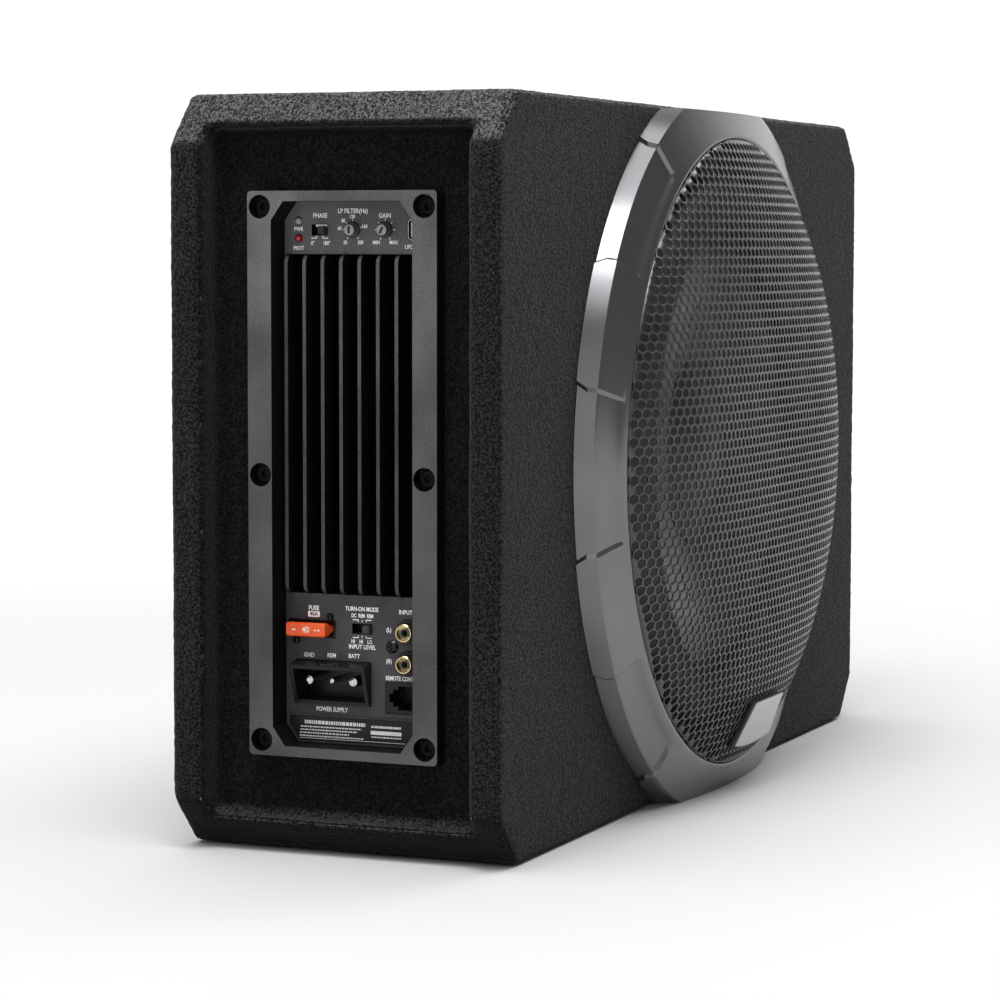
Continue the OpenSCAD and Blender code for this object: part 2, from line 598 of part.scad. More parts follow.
module filter_capacitors() color([0.1, 0.12, 0.3]) amp_frame()
    for (x = [-20, 4], y = [20, 46]) translate([x, y, 0])
        turned([[0, main_board_z], [10.6, main_board_z], [10.6, main_board_z - 2.6],
                [10.1, main_board_z - 3.2], [10.6, main_board_z - 3.8], [10.6, main_board_z - 29],
                [9.8, main_board_z - 30], [0, main_board_z - 30]], $fn = 48);

input_board_z = -29.6;
module input_board() color([0.05, 0.25, 0.1]) amp_frame() sheet_at(input_board_z, input_board_z + circuit_t)
    translate([0, -89]) square([cover_w - 2 * cover_t - 1, 60], center = true);
control_board_z = -25;
module control_board() color([0.05, 0.25, 0.1]) amp_frame()
    sheet_at(control_board_z, control_board_z + circuit_t)
    translate([0, 110.4]) square([cover_w - 2 * cover_t - 1, 19], center = true);

module rating_label() color([0.25, 0.25, 0.26]) amp_frame() translate([0, label_y, 0])
    sheet_at(panel_z, panel_z + 0.4) polygon(label_outline(0));

// A pan-head screw whose head sits on the panel
module pan_screw(head_r, shank_r) difference() {
    turned([[0, panel_z + 1.5], [head_r * 0.7, panel_z + 1.4], [head_r, panel_z + 0.6], [head_r, panel_z],
            [shank_r, panel_z], [shank_r, panel_back_z - 2.5], [0, panel_back_z - 2.5]], $fn = 32);
    cross_slot(panel_z + 0.6, 1.5, head_r * 1.1, head_r * 0.26);
}
module panel_screws() color([0.15, 0.15, 0.15]) amp_frame() {
    translate(ground_screw) pan_screw(2.9, 1.5);
    for (p = fuse_screws) translate(p) pan_screw(1.8, 1);
}

// ---- Fuse
fuse_w = 19.2;
fuse_t = 6.2;
fuse_front_z = panel_z + 7.2;
fuse_foot_z = -20.5;
blade_x = 5.9;
module fuse_holder() color([0.06, 0.06, 0.06]) amp_frame() translate([fuse_x, fuse_y, 0]) difference() {
    sheet_at(input_board_z + circuit_t, panel_z - 1)
        square([fuse_slot[0] - 0.4, fuse_slot[1] - 0.4], center = true);
    sheet_at(fuse_foot_z - 0.5, panel_z) square([fuse_w + 0.8, fuse_t + 0.6], center = true);
    for (s = [-1, 1]) translate([s * blade_x, 0, 0])
        sheet_at(-27.6, fuse_foot_z) square([5.8, 1.2], center = true);
}
fuse_neck_t = 2.8;
// End view of the fuse: a thick head that narrows to the neck between the blades
fuse_side = [
    [fuse_front_z, fuse_t / 2 - 0.6], [fuse_front_z, 0.6 - fuse_t / 2],
    [fuse_front_z - 0.6, -fuse_t / 2], [fuse_front_z - 2.6, -fuse_t / 2],
    [panel_z + 0.6, -fuse_neck_t / 2], [fuse_foot_z, -fuse_neck_t / 2],
    [fuse_foot_z, fuse_neck_t / 2], [panel_z + 0.6, fuse_neck_t / 2],
    [fuse_front_z - 2.6, fuse_t / 2], [fuse_front_z - 0.6, fuse_t / 2]];
module blade_fuse() color([0.95, 0.45, 0.1]) amp_frame() translate([fuse_x, fuse_y, 0]) intersection() {
    sheet_at(fuse_foot_z, fuse_front_z) polygon(round_rect(fuse_w, fuse_t, 0.9));
    rotate([0, -90, 0]) translate([0, 0, -fuse_w / 2]) linear_extrude(fuse_w) polygon(fuse_side);
}
module fuse_blades() color([0.75, 0.75, 0.72]) amp_frame() translate([fuse_x, fuse_y, 0])
    for (s = [-1, 1]) translate([s * blade_x, 0, 0])
        sheet_at(-27, fuse_foot_z) square([5.2, 0.7], center = true);

// ---- Power inlet: a shell whose front slopes back towards its foot
inlet_top_z = panel_z + 7.5;
inlet_foot_z = panel_z + 2;
inlet_wall = 1.7;
inlet_back_z = input_board_z + circuit_t;
module inlet_side() polygon([
    [inlet_back_z, -inlet_size[1] / 2], [inlet_foot_z, -inlet_size[1] / 2],
    [inlet_top_z, inlet_size[1] / 2 - 1.8], [panel_z, inlet_size[1] / 2],
    [inlet_back_z, inlet_size[1] / 2]]);
module power_inlet() color([0.07, 0.07, 0.07]) amp_frame() translate([inlet_x, inlet_y, 0]) {
    difference() {
        rotate([0, -90, 0]) translate([0, 0, -inlet_size[0] / 2])
            linear_extrude(inlet_size[0]) inlet_side();
        block([inlet_wall - inlet_size[0] / 2, inlet_wall - inlet_size[1] / 2, inlet_back_z + 2],
              [inlet_size[0] / 2 - inlet_wall, inlet_size[1] / 2 - 1.8 - inlet_wall, inlet_top_z + 1]);
        for (x = [-pin_pitch, pin_pitch]) translate([x, pin_rise, inlet_back_z - 1])
            cylinder(r = pin_r + 0.02, h = 4, $fn = 32);
        translate([0, pin_rise, inlet_back_z - 1]) cylinder(r = small_pin_r + 0.02, h = 4, $fn = 32);
    }
    // catch for the plug's latch
    block([-3.5, inlet_size[1] / 2 - 1.9, inlet_top_z - 2.4],
          [3.5, inlet_size[1] / 2 - 0.6, inlet_top_z - 0.6]);
}
pin_pitch = 10.9;
pin_rise = 1;                   // the pins' height above the inlet's middle
pin_r = 2.4;
small_pin_r = 1.4;
module pin_shape(r, z1) turned([
    [0, inlet_back_z], [r, inlet_back_z], [r, z1 - r * 0.5], [r * 0.8, z1 - r * 0.15],
                                [r * 0.4, z1], [0, z1]], $fn = 32);
module power_pins() color([0.85, 0.85, 0.85]) amp_frame() translate([inlet_x, inlet_y + pin_rise, 0]) {
    for (x = [-pin_pitch, pin_pitch]) translate([x, 0, 0]) pin_shape(pin_r, panel_z + 2.8);
    pin_shape(small_pin_r, panel_z + 2);
}

// ---- Signal sockets
rca_front_z = panel_z + 5.5;
rca_boss_z = panel_z + 0.8;
rca_r = 4.15;
rca_root_r = 3.6;               // the barrel is slimmer inside its block
rca_in_r = 3.3;
rca_core_r = 2.2;
rca_bore_z = rca_boss_z + 0.8;  // floor of the gap round the core
module rca_places() for (s = [-1, 1]) translate([rca_x, rca_y + s * rca_pitch / 2, 0]) children();
module rca_block() color([0.08, 0.08, 0.08]) amp_frame() {
    difference() {
        translate([rca_x, rca_y, 0])
            block([-6.8, -13.6, input_board_z + circuit_t], [6.8, 13.6, panel_back_z - gap]);
        translate([ground_screw[0], ground_screw[1], input_board_z]) cylinder(r = 1.7, h = 20, $fn = 24);
        rca_places() translate([0, 0, panel_back_z - 4]) cylinder(r = rca_root_r + 0.02, h = 6, $fn = 48);
    }
    rca_places() tube(rca_root_r + 0.02, rca_boss_r, panel_back_z - gap - eps, rca_boss_z, $fn = 48);
}
module rca_barrels() color([0.85, 0.7, 0.35]) amp_frame() rca_places() difference() {
    turned([[0, panel_back_z - 4], [rca_root_r, panel_back_z - 4], [rca_root_r, rca_boss_z + 0.3],
            [rca_r, rca_boss_z + 0.3], [rca_r, rca_front_z - 0.4], [rca_r - 0.4, rca_front_z],
            [rca_in_r, rca_front_z], [rca_in_r, rca_bore_z], [0, rca_bore_z]], $fn = 48);
    translate([0, 0, panel_back_z - 5])
        cylinder(r = rca_core_r, h = rca_bore_z - panel_back_z + 6, $fn = 32);
}
module rca_insulators() color([0.8, 0.8, 0.78]) amp_frame() rca_places() difference() {
    translate([0, 0, panel_back_z - 4])
        cylinder(r = rca_core_r, h = rca_front_z - panel_back_z + 2.6, $fn = 32);
    translate([0, 0, panel_z - 2]) cylinder(r = 1.5, h = 12, $fn = 32);
}

// ---- Remote and service sockets
module remote_jack() color([0.2, 0.2, 0.2]) amp_frame() translate([remote_x, remote_y, 0]) difference() {
    sheet_at(input_board_z + circuit_t, panel_z) square(remote_size, center = true);
    sheet_at(-26, panel_z + 1) polygon([
        [6.3, 5.4], [6.3, -5.4], [-1.9, -5.4], [-1.9, -3.8], [-4.4, -3.8], [-4.4, -1.9], [-6.2, -1.9],
        [-6.2, 1.9], [-4.4, 1.9], [-4.4, 3.8], [-1.9, 3.8], [-1.9, 5.4]]);
}
module service_port() color([0.5, 0.5, 0.5]) amp_frame() translate([service_x, knob_y, 0]) {
    difference() {
        sheet_at(control_board_z + circuit_t, panel_z - 0.3) polygon(round_rect(3.2, 9.2, 1.59));
        sheet_at(-22, panel_z) polygon(round_rect(2.5, 8.5, 1.24));
    }
    block([-0.35, -3.2, -22.01], [0.35, 3.2, panel_z - 1]);
}

// ---- Lamps
module lamp(y) amp_frame() translate([led_x, y, 0]) turned(concat(
    [[0, control_board_z + circuit_t], [led_r, control_board_z + circuit_t]],
    arc(led_r, 0, 90, 6, 0, panel_z + 0.2)), $fn = 32);
module power_led() color([0.6, 0.6, 0.58]) lamp(led_y[0]);
module protect_led() color([0.8, 0.1, 0.1]) lamp(led_y[1]);

// ---- Slide switches
lever_w = 3.4;
lever_h = 3.4;
lever_front_z = panel_z + 3.6;
lever_foot_z = -20;
module switch_body(x, y, travel, back_z) amp_frame() translate([x, y, 0]) difference() {
    block([-travel / 2 - 4, -4, back_z], [travel / 2 + 4, 4, panel_back_z - gap]);
    sheet_at(lever_foot_z - 0.4, panel_back_z + 1)
        square([travel + lever_w + 0.5, lever_h + 0.4], center = true);
}
// The lever rests at the right end of its travel
module switch_lever(x, y, travel) amp_frame() translate([x + travel / 2, y, 0]) {
    sheet_at(lever_foot_z, lever_front_z - 0.5) square([lever_w, lever_h], center = true);
    sheet_at(lever_front_z - 0.5 - eps, lever_front_z)
        square([lever_w - 0.6, lever_h - 0.6], center = true);
}
module phase_switch() color([0.15, 0.15, 0.15])
    switch_body(phase_x, knob_y, phase_travel, control_board_z + circuit_t);
module phase_lever() color([0.05, 0.05, 0.05]) switch_lever(phase_x, knob_y, phase_travel);
module mode_switch() color([0.15, 0.15, 0.15])
    switch_body(mode_x, mode_y, mode_travel, input_board_z + circuit_t);
module mode_lever() color([0.05, 0.05, 0.05]) switch_lever(mode_x, mode_y, mode_travel);

// ---- Rotary controls
knob_r = 3.55;
knob_skirt_z = panel_z + 2;
knob_cap_r = 2.45;
knob_cap_z = panel_z + 4.4;
slot_w = 1.2;                   // the pointer slot in a knob's cap
slot_t = 1;
knob_neck_r = 2.6;
knob_foot_z = -17.6;
module pots() color([0.2, 0.2, 0.22]) amp_frame() for (x = [filter_x, gain_x])
    translate([x, knob_y, 0]) difference() {
    block([-4.8, -5.5, control_board_z + circuit_t], [4.8, 5.5, panel_back_z - gap]);
    translate([0, 0, knob_foot_z - 0.3]) cylinder(r = knob_neck_r + 0.2, h = 3, $fn = 32);
}
// A skirted knob with a pointer slot, turned by the given angle
module knob(x, pointer) amp_frame() translate([x, knob_y, 0]) rotate([0, 0, pointer]) difference() {
    turned([[0, knob_foot_z], [knob_neck_r, knob_foot_z], [knob_neck_r, panel_z + 0.3],
            [knob_r, panel_z + 0.3], [knob_r, knob_skirt_z - 0.3], [knob_r - 0.3, knob_skirt_z],
            [knob_cap_r, knob_skirt_z],
            [knob_cap_r, knob_cap_z - 0.3], [knob_cap_r - 0.3, knob_cap_z], [0, knob_cap_z]], $fn = 48);
    translate([-slot_w / 2, -1.5, knob_cap_z - slot_t]) cube([slot_w, 3.2, 2]);
}
module filter_knob() color([0.1, 0.1, 0.1]) knob(filter_x, 0);
module gain_knob() color([0.1, 0.1, 0.1]) knob(gain_x, 150);

front_baffle();
back_panel();
top_panel();
bottom_panel();
far_end_panel();
corner_strips();
amp_end_panel();
carpet_front();
carpet_back();
carpet_bottom();
carpet_wrap();
carpet_bay();
trim_ring();
grille();
badge();
basket();
basket_gasket();
woofer_screws();
surround();
cone();
dust_cap();
spider();
coil_former();
coil_winding();
top_plate();
magnet();
pole_plate();
terminal_block();
speaker_leads();
amp_plate();
plate_gasket();
plate_screws();
amp_cover();
main_board();
power_transistors();
toroid();
filter_capacitors();
input_board();
control_board();
rating_label();
panel_screws();
fuse_holder();
blade_fuse();
fuse_blades();
power_inlet();
power_pins();
rca_block();
rca_barrels();
rca_insulators();
remote_jack();
service_port();
power_led();
protect_led();
phase_switch();
phase_lever();
mode_switch();
mode_lever();
pots();
filter_knob();
gain_knob();
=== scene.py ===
import math
import random

import bmesh
import bpy
from mathutils import Matrix, Vector, noise


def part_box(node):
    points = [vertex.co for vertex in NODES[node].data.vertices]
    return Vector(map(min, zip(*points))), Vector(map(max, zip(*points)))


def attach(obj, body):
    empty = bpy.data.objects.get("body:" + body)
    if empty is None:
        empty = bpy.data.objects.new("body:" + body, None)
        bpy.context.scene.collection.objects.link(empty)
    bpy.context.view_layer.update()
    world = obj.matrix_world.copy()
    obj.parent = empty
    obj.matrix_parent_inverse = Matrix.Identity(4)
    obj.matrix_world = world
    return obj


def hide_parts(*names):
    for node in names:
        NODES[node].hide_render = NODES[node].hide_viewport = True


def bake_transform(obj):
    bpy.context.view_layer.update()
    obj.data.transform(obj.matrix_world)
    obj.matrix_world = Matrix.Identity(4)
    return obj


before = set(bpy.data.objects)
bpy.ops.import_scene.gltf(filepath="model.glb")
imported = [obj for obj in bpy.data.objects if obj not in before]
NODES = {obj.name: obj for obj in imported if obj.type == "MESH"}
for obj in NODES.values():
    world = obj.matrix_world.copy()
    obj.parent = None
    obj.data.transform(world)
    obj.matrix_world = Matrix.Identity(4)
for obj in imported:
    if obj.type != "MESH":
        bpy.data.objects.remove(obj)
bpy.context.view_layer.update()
MM = 0.001

# ---- places, from the frame
PLATE_LO, PLATE_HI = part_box("amp_plate")
PLATE_X = PLATE_LO.x  # face of the amplifier plate
PLATE_Y = (PLATE_LO.y + PLATE_HI.y) / 2
PLATE_Z = (PLATE_LO.z + PLATE_HI.z) / 2
PANEL_DEPTH = 14 * MM  # the control panel below the plate's face
GRILLE_LO, GRILLE_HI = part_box("grille")
AXIS_X = (GRILLE_LO.x + GRILLE_HI.x) / 2  # the woofer's axis
AXIS_Z = (GRILLE_LO.z + GRILLE_HI.z) / 2
FRONT_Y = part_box("carpet_front")[0].y  # the carpet's front face
BAFFLE_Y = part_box("front_baffle")[0].y
BOX_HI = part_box("carpet_back")[1]
BACK_Y = BOX_HI.y
TOP_Z = BOX_HI.z
END_X = BOX_HI.x


def amp_point(x, y, z):
    """A point in the plate's frame: x right and y up as the end is seen, z out of the plate's face."""
    return Vector((PLATE_X - z, PLATE_Y - x, PLATE_Z + y))


def woofer_point(radius, angle, depth, face_y=BAFFLE_Y):
    """A point round the woofer's axis, sizes in mm; depth is behind the baffle's or another face."""
    x, z = AXIS_X + radius * MM * math.cos(angle), AXIS_Z + radius * MM * math.sin(angle)
    return (x, face_y + depth * MM, z)


def from_axis_mm(point):
    """How far a point lies from the woofer's axis, in mm."""
    return math.hypot(point.x - AXIS_X, point.z - AXIS_Z) / MM


def ease(t):
    """A smooth step from 0 to 1."""
    t = min(1, max(0, t))
    return t * t * (3 - 2 * t)


def add_object(name, data):
    """A new object in the scene."""
    added = bpy.data.objects.new(name, data)
    bpy.context.collection.objects.link(added)
    return added


# ---- camera
CAMERA_PLACE = (-1.55187, -0.59591, 0.27249)
CAMERA_YAW, CAMERA_PITCH, CAMERA_ROLL = 67.3266, -4.4823, 0.0667  # degrees
LENS_MM = 117.393  # on a sensor 36 mm wide


def make_camera():
    """The photo's camera, solved from the cabinet's straight edges."""
    yaw, pitch, roll = (math.radians(a) for a in (CAMERA_YAW, CAMERA_PITCH, CAMERA_ROLL))
    ahead = Vector((math.sin(yaw) * math.cos(pitch), math.cos(yaw) * math.cos(pitch), math.sin(pitch)))
    side = Vector((math.cos(yaw), -math.sin(yaw), 0))
    over = side.cross(ahead)
    right = math.cos(roll) * side + math.sin(roll) * over
    up = math.cos(roll) * over - math.sin(roll) * side
    camera = add_object("camera", bpy.data.cameras.new("camera"))
    camera.data.lens = LENS_MM
    camera.data.clip_start = 0.05
    turn = Matrix((right, up, -ahead)).transposed()
    camera.matrix_world = Matrix.Translation(CAMERA_PLACE) @ turn.to_4x4()
    bpy.context.scene.camera = camera


make_camera()


# ---- materials
class Nodes:
    """The node tree of a material or of the world, with short calls for the nodes both use."""

    def __init__(self, owner):
        owner.use_nodes = True
        self.nodes, self.links = owner.node_tree.nodes, owner.node_tree.links

    def ramp(self, value, lo, hi, a=0.0, b=1.0):
        """A smooth change from a to b while the value goes from lo to hi."""
        node = self.nodes.new("ShaderNodeMapRange")
        node.interpolation_type = "SMOOTHSTEP"
        for i, v in enumerate((lo, hi, a, b), 1):
            node.inputs[i].default_value = v
        self.links.new(value, node.inputs[0])
        return node.outputs[0]

    def math(self, kind, a, b):
        node = self.nodes.new("ShaderNodeMath")
        node.operation = kind
        for i, v in enumerate((a, b)):
            if isinstance(v, (int, float)):
                node.inputs[i].default_value = v
            else:
                self.links.new(v, node.inputs[i])
        return node.outputs[0]


class Tree(Nodes):
    """A new material, with short calls for the nodes used here."""

    def __init__(self, name):
        self.material = bpy.data.materials.new(name)
        super().__init__(self.material)
        self.shader = self.nodes["Principled BSDF"]
        self.coords = self.nodes.new("ShaderNodeTexCoord").outputs["Object"]

    def set(self, **values):
        for name, value in values.items():
            self.shader.inputs[name.replace("_", " ")].default_value = value
        return self

    def stretched(self, scale):
        mapping = self.nodes.new("ShaderNodeMapping")
        mapping.inputs["Scale"].default_value = scale
        self.links.new(self.coords, mapping.inputs["Vector"])
        return mapping.outputs[0]

    def noise(self, size_mm, detail, rough=0.5, coords=None):
        node = self.nodes.new("ShaderNodeTexNoise")
        node.inputs["Scale"].default_value = 1000 / size_mm
        node.inputs["Detail"].default_value = detail
        node.inputs["Roughness"].default_value = rough
        self.links.new(coords or self.coords, node.inputs["Vector"])
        return node.outputs["Fac"]

    def mix(self, fac, a, b):
        node = self.nodes.new("ShaderNodeMix")
        node.data_type = "RGBA"
        self.links.new(fac, node.inputs[0])
        for socket, v in ((node.inputs[6], a), (node.inputs[7], b)):
            if isinstance(v, bpy.types.NodeSocket):
                self.links.new(v, socket)
            else:
                socket.default_value = (*v, 1)
        return node.outputs[2]

    def blend(self, a, share, b):
        """Two values added, with the given share of the first and the rest of the second."""
        return self.math("ADD", self.math("MULTIPLY", a, share), self.math("MULTIPLY", b, 1 - share))

    def axis(self, index, source=None):
        node = self.nodes.new("ShaderNodeSeparateXYZ")
        self.links.new(source or self.coords, node.inputs[0])
        return node.outputs[index]

    def normal_axis(self, index):
        return self.axis(index, self.nodes.new("ShaderNodeNewGeometry").outputs["Normal"])

    def color(self, value):
        self.links.new(value, self.shader.inputs["Base Color"])

    def rough(self, value):
        self.links.new(value, self.shader.inputs["Roughness"])

    def bump(self, *layers):
        """Each layer is (height, how many mm it stands)."""
        last = None
        for height, stand_mm in layers:
            node = self.nodes.new("ShaderNodeBump")
            node.inputs["Distance"].default_value = stand_mm * MM
            self.links.new(height, node.inputs["Height"])
            if last:
                self.links.new(last, node.inputs["Normal"])
            last = node.outputs[0]
        self.links.new(last, self.shader.inputs["Normal"])


PATCH_MM = 35  # size of the slow patches of colour in plain finishes


def grey(value):
    return (value, value, value)


def times(factor, colour):
    return tuple(factor * c for c in colour)


def grained(name, dark, light, rough, grain_mm, stand_mm, metallic=0.0, **sockets):
    """A finish with fine grain, slow patches of colour and a roughness that drifts a little."""
    t = Tree(name).set(Metallic=metallic, **sockets)
    fine = t.noise(grain_mm, 3)
    both = t.blend(fine, 0.55, t.noise(PATCH_MM, 3))
    t.color(t.mix(t.ramp(both, 0.35, 0.65), dark, light))
    t.rough(t.ramp(both, 0.3, 0.7, rough * 0.9, min(1, rough * 1.12)))
    t.bump((fine, stand_mm))
    return t.material


def felt(name, dark, light):
    """Short needle-felt carpet: tufts, fibres and a soft sheen, with painted light on the faces that look up
    and painted shade on the faces that look down.
    """
    t = Tree(name).set(Sheen_Weight=0.10, Sheen_Roughness=0.5, Specular_IOR_Level=0.08)
    t.shader.inputs["Sheen Tint"].default_value = (0.75, 0.74, 0.72, 1)
    along = t.stretched((0.5, 1, 1))
    tuft = t.noise(1.3, 2, 0.6, along)
    fibre = t.noise(0.7, 2, 0.6, along)
    slow = t.noise(60, 2)
    speck = t.ramp(t.blend(tuft, 0.5, fibre), 0.43, 0.60)
    up = t.normal_axis(2)
    # Painted light: faces that look up get a paler pile colour.
    base = t.mix(t.ramp(up, 0.25, 0.75), t.mix(speck, dark, light),
                 t.mix(speck, times(4, dark), times(4.4, light)))
    # Painted shade: faces that look down are darkened.
    base = t.mix(t.ramp(up, -0.6, -0.1, 1.0, 0.0), base, times(1.2, dark))
    t.color(t.mix(t.ramp(slow, 0.3, 0.7, 0.0, 0.2), base, dark))
    t.rough(t.ramp(fibre, 0.3, 0.7, 0.9, 1.0))
    t.bump((tuft, 0.8), (fibre, 0.5))
    return t.material


def powder_coat(name, dark, light, rough):
    """Textured coating of the casting, with painted light on the faces that look out and painted shade on
    its inner walls, in its deep and sunken parts and towards the panel's foot.
    """
    t = Tree(name).set(Metallic=0.2)
    fine = t.noise(0.5, 3)
    both = t.blend(fine, 0.6, t.noise(PATCH_MM, 3))
    base = t.mix(t.ramp(both, 0.35, 0.65), dark, light)
    # Painted shade: walls that do not face out, the deep wells, the sunken panel and its lower part get a
    # darker colour.
    outward_face = t.ramp(t.math("MULTIPLY", t.normal_axis(0), -1), 0.35, 0.9)
    deep = t.ramp(t.axis(0), PLATE_X + PANEL_DEPTH + 4 * MM, PLATE_X + PANEL_DEPTH + 12 * MM, 1.0, 0.0)
    sunken = t.ramp(t.axis(0), PLATE_X + 2 * MM, PLATE_X + 8 * MM, 1.0, 0.72)
    height = t.ramp(t.axis(2), PLATE_Z + 20 * MM, PLATE_Z + 115 * MM, 0.55, 1.0)
    painted_light = t.math("MULTIPLY", t.math("MULTIPLY", outward_face, deep), t.math("MULTIPLY", sunken, height))
    t.color(t.mix(painted_light, times(0.13, dark), base))
    t.rough(t.ramp(both, 0.3, 0.7, rough * 0.9, rough * 1.12))
    # Painted shade also lowers the specular in those places.
    t.links.new(t.ramp(painted_light, 0.0, 0.6, 0.05, 0.5), t.shader.inputs["Specular IOR Level"])
    t.bump((fine, 0.10))
    return t.material


def satin_paint(name, dark, light, rough):
    """Metallic paint: fine flakes, slow patches of tone and a faint orange peel."""
    t = Tree(name).set(Metallic=0.85, Coat_Weight=0.12, Coat_Roughness=0.2)
    flake = t.noise(0.4, 2, 0.7)
    peel = t.noise(6, 2)
    slow = t.noise(90, 3)
    t.color(t.mix(t.ramp(t.blend(flake, 0.5, slow), 0.35, 0.65), dark, light))
    t.rough(t.ramp(flake, 0.3, 0.7, rough * 0.88, rough * 1.12))
    t.bump((flake, 0.0015), (peel, 0.010))
    return t.material


def cone_paper(name, dark, light, rough):
    """Pressed paper with fibres, with painted light at its upper and lower left and painted shade over the
    rest.
    """
    t = Tree(name)
    fibre = t.noise(1.6, 3)
    slow = t.noise(22, 3)
    # Painted light: the left part of the cone, above and below the axis, is paler.
    side = t.ramp(t.axis(0), AXIS_X - 70 * MM, AXIS_X + 5 * MM, 1.0, 0.0)
    low = t.ramp(t.axis(2), AXIS_Z - 75 * MM, AXIS_Z - 5 * MM, 1.0, 0.2)
    high = t.ramp(t.axis(2), AXIS_Z + 20 * MM, AXIS_Z + 80 * MM, 0.0, 0.6)
    side = t.math("MULTIPLY", side, t.math("ADD", low, high))
    painted_light = t.math("ADD", t.math("MULTIPLY", side, 0.85), 0.12)
    grain = t.ramp(t.blend(fibre, 0.5, slow), 0.3, 0.7, 0.6, 1.0)
    t.color(t.mix(t.math("MULTIPLY", grain, painted_light), dark, light))
    t.rough(t.ramp(fibre, 0.3, 0.7, rough * 0.9, rough * 1.1))
    t.bump((fibre, 0.06))
    return t.material


def spun(name, dark, light, rough, metallic=1.0):
    """Turned or drawn metal with fine scratches."""
    t = Tree(name).set(Metallic=metallic)
    lines = t.noise(0.35, 2, 0.6, coords=t.stretched((1, 0.06, 1)))
    slow = t.noise(12, 3)
    t.color(t.mix(t.ramp(slow, 0.3, 0.7), dark, light))
    t.rough(t.ramp(lines, 0.3, 0.7, rough * 0.75, rough * 1.3))
    t.bump((lines, 0.004))
    return t.material


def knob_plastic(name, face, skirt, rough):
    """Moulded plastic with a pale face on a dark skirt."""
    t = Tree(name)
    fine = t.noise(0.35, 3)
    edge = PLATE_X + 10.35 * MM
    base = t.mix(t.ramp(t.axis(0), edge - 0.02 * MM, edge + 0.02 * MM), face, skirt)
    t.color(t.mix(t.ramp(fine, 0.3, 0.7, 0.0, 0.25), base, times(0.6, face)))
    t.rough(t.ramp(fine, 0.3, 0.7, rough * 0.85, rough * 1.15))
    t.bump((fine, 0.006))
    return t.material


CARPET = felt("carpet_felt", grey(0.0017), (0.0345, 0.0342, 0.0335))
# The bay's felt is the carpet's felt made darker: painted shade in the recess.
SHADED_BAY_CARPET = felt("bay_carpet_felt_shaded", grey(0.001), (0.0145, 0.0144, 0.0141))
RING_PAINT = satin_paint("ring_paint", (0.145, 0.148, 0.153), (0.178, 0.181, 0.187), 0.22)
# The badge's sides are the face's paint made darker: painted shade.
SHADED_BADGE_SIDE = satin_paint("badge_side_shaded", (0.10, 0.10, 0.105), (0.15, 0.15, 0.155), 0.32)
BADGE_METAL = satin_paint("badge_metal", (0.50, 0.50, 0.505), (0.60, 0.60, 0.605), 0.32)
GRILLE_COAT = grained("grille_coat", (0.042, 0.042, 0.043), (0.075, 0.075, 0.077), 0.25, 0.3, 0.003, 0.6,
                      Coat_Weight=0.3, Coat_Roughness=0.15)
POWDER = powder_coat("powder_coat", (0.05, 0.05, 0.051), (0.187, 0.187, 0.19), 0.5)
BLACK_PLASTIC = grained("black_plastic", (0.004, 0.004, 0.0042), (0.009, 0.009, 0.0093), 0.3, 0.4, 0.012,
                        Specular_IOR_Level=0.3)
DARK_SCREW = grained("dark_screw", grey(0.003), grey(0.007), 0.5, 0.4, 0.01, 0.2,
                     Specular_IOR_Level=0.15)
GLOSSY_SCREW = spun("glossy_screw", (0.012, 0.012, 0.0125), (0.025, 0.025, 0.026), 0.16, 0.6)
RUBBER = grained("surround_rubber", grey(0.030), (0.060, 0.060, 0.059), 0.5, 0.5, 0.02)
FOAM = grained("gasket_foam", grey(0.010), grey(0.026), 0.95, 0.8, 0.15)
# The cone's light colour shows only in its painted light.
CONE_PULP = cone_paper("cone_pulp", (0.03, 0.0294, 0.0282), (0.46, 0.451, 0.434), 0.55)
CAP_PULP = grained("cap_pulp", (0.02, 0.0197, 0.019), (0.04, 0.0394, 0.038), 0.4, 1.2, 0.04)
BEAD = grained("cone_bead", grey(0.03), grey(0.06), 0.4, 0.5, 0.02)
BASKET_COAT = grained("basket_coat", (0.014, 0.014, 0.015), (0.03, 0.03, 0.031), 0.45, 0.6, 0.03, 0.3)
SPIDER_CLOTH = grained("spider_cloth", (0.42, 0.31, 0.13), (0.62, 0.47, 0.22), 0.85, 0.7, 0.08)
FORMER = spun("former_foil", (0.55, 0.55, 0.56), (0.7, 0.7, 0.71), 0.3)
COPPER = spun("copper_wire", (0.50, 0.20, 0.09), (0.72, 0.36, 0.18), 0.28)
STEEL = spun("plated_steel", (0.42, 0.42, 0.43), (0.62, 0.62, 0.63), 0.34)
FERRITE = grained("ferrite", (0.035, 0.035, 0.037), (0.07, 0.07, 0.073), 0.6, 0.8, 0.04)
BOARD = grained("fibreboard", (0.30, 0.20, 0.11), (0.46, 0.33, 0.20), 0.85, 0.8, 0.05)
PCB = grained("circuit_board", (0.008, 0.065, 0.022), (0.016, 0.11, 0.04), 0.3, 0.6, 0.01)
EPOXY = grained("epoxy", grey(0.012), grey(0.03), 0.5, 0.4, 0.02)
SLEEVE = grained("can_sleeve", (0.012, 0.016, 0.07), (0.03, 0.036, 0.12), 0.3, 0.8, 0.01)
LEAD_SKIN = grained("lead_skin", (0.25, 0.012, 0.01), (0.4, 0.03, 0.022), 0.36, 0.8, 0.02)
LABEL_FILM = grained("label_film", grey(0.008), grey(0.016), 0.35, 0.5, 0.01,
                     Specular_IOR_Level=0.25)
FUSE_SHELL = grained("fuse_shell", (0.70, 0.065, 0.010), (0.86, 0.115, 0.020), 0.3, 0.7, 0.01)
FUSE_MARK = grained("fuse_mark", (0.80, 0.62, 0.50), (0.9, 0.76, 0.64), 0.5, 0.3, 0.004)
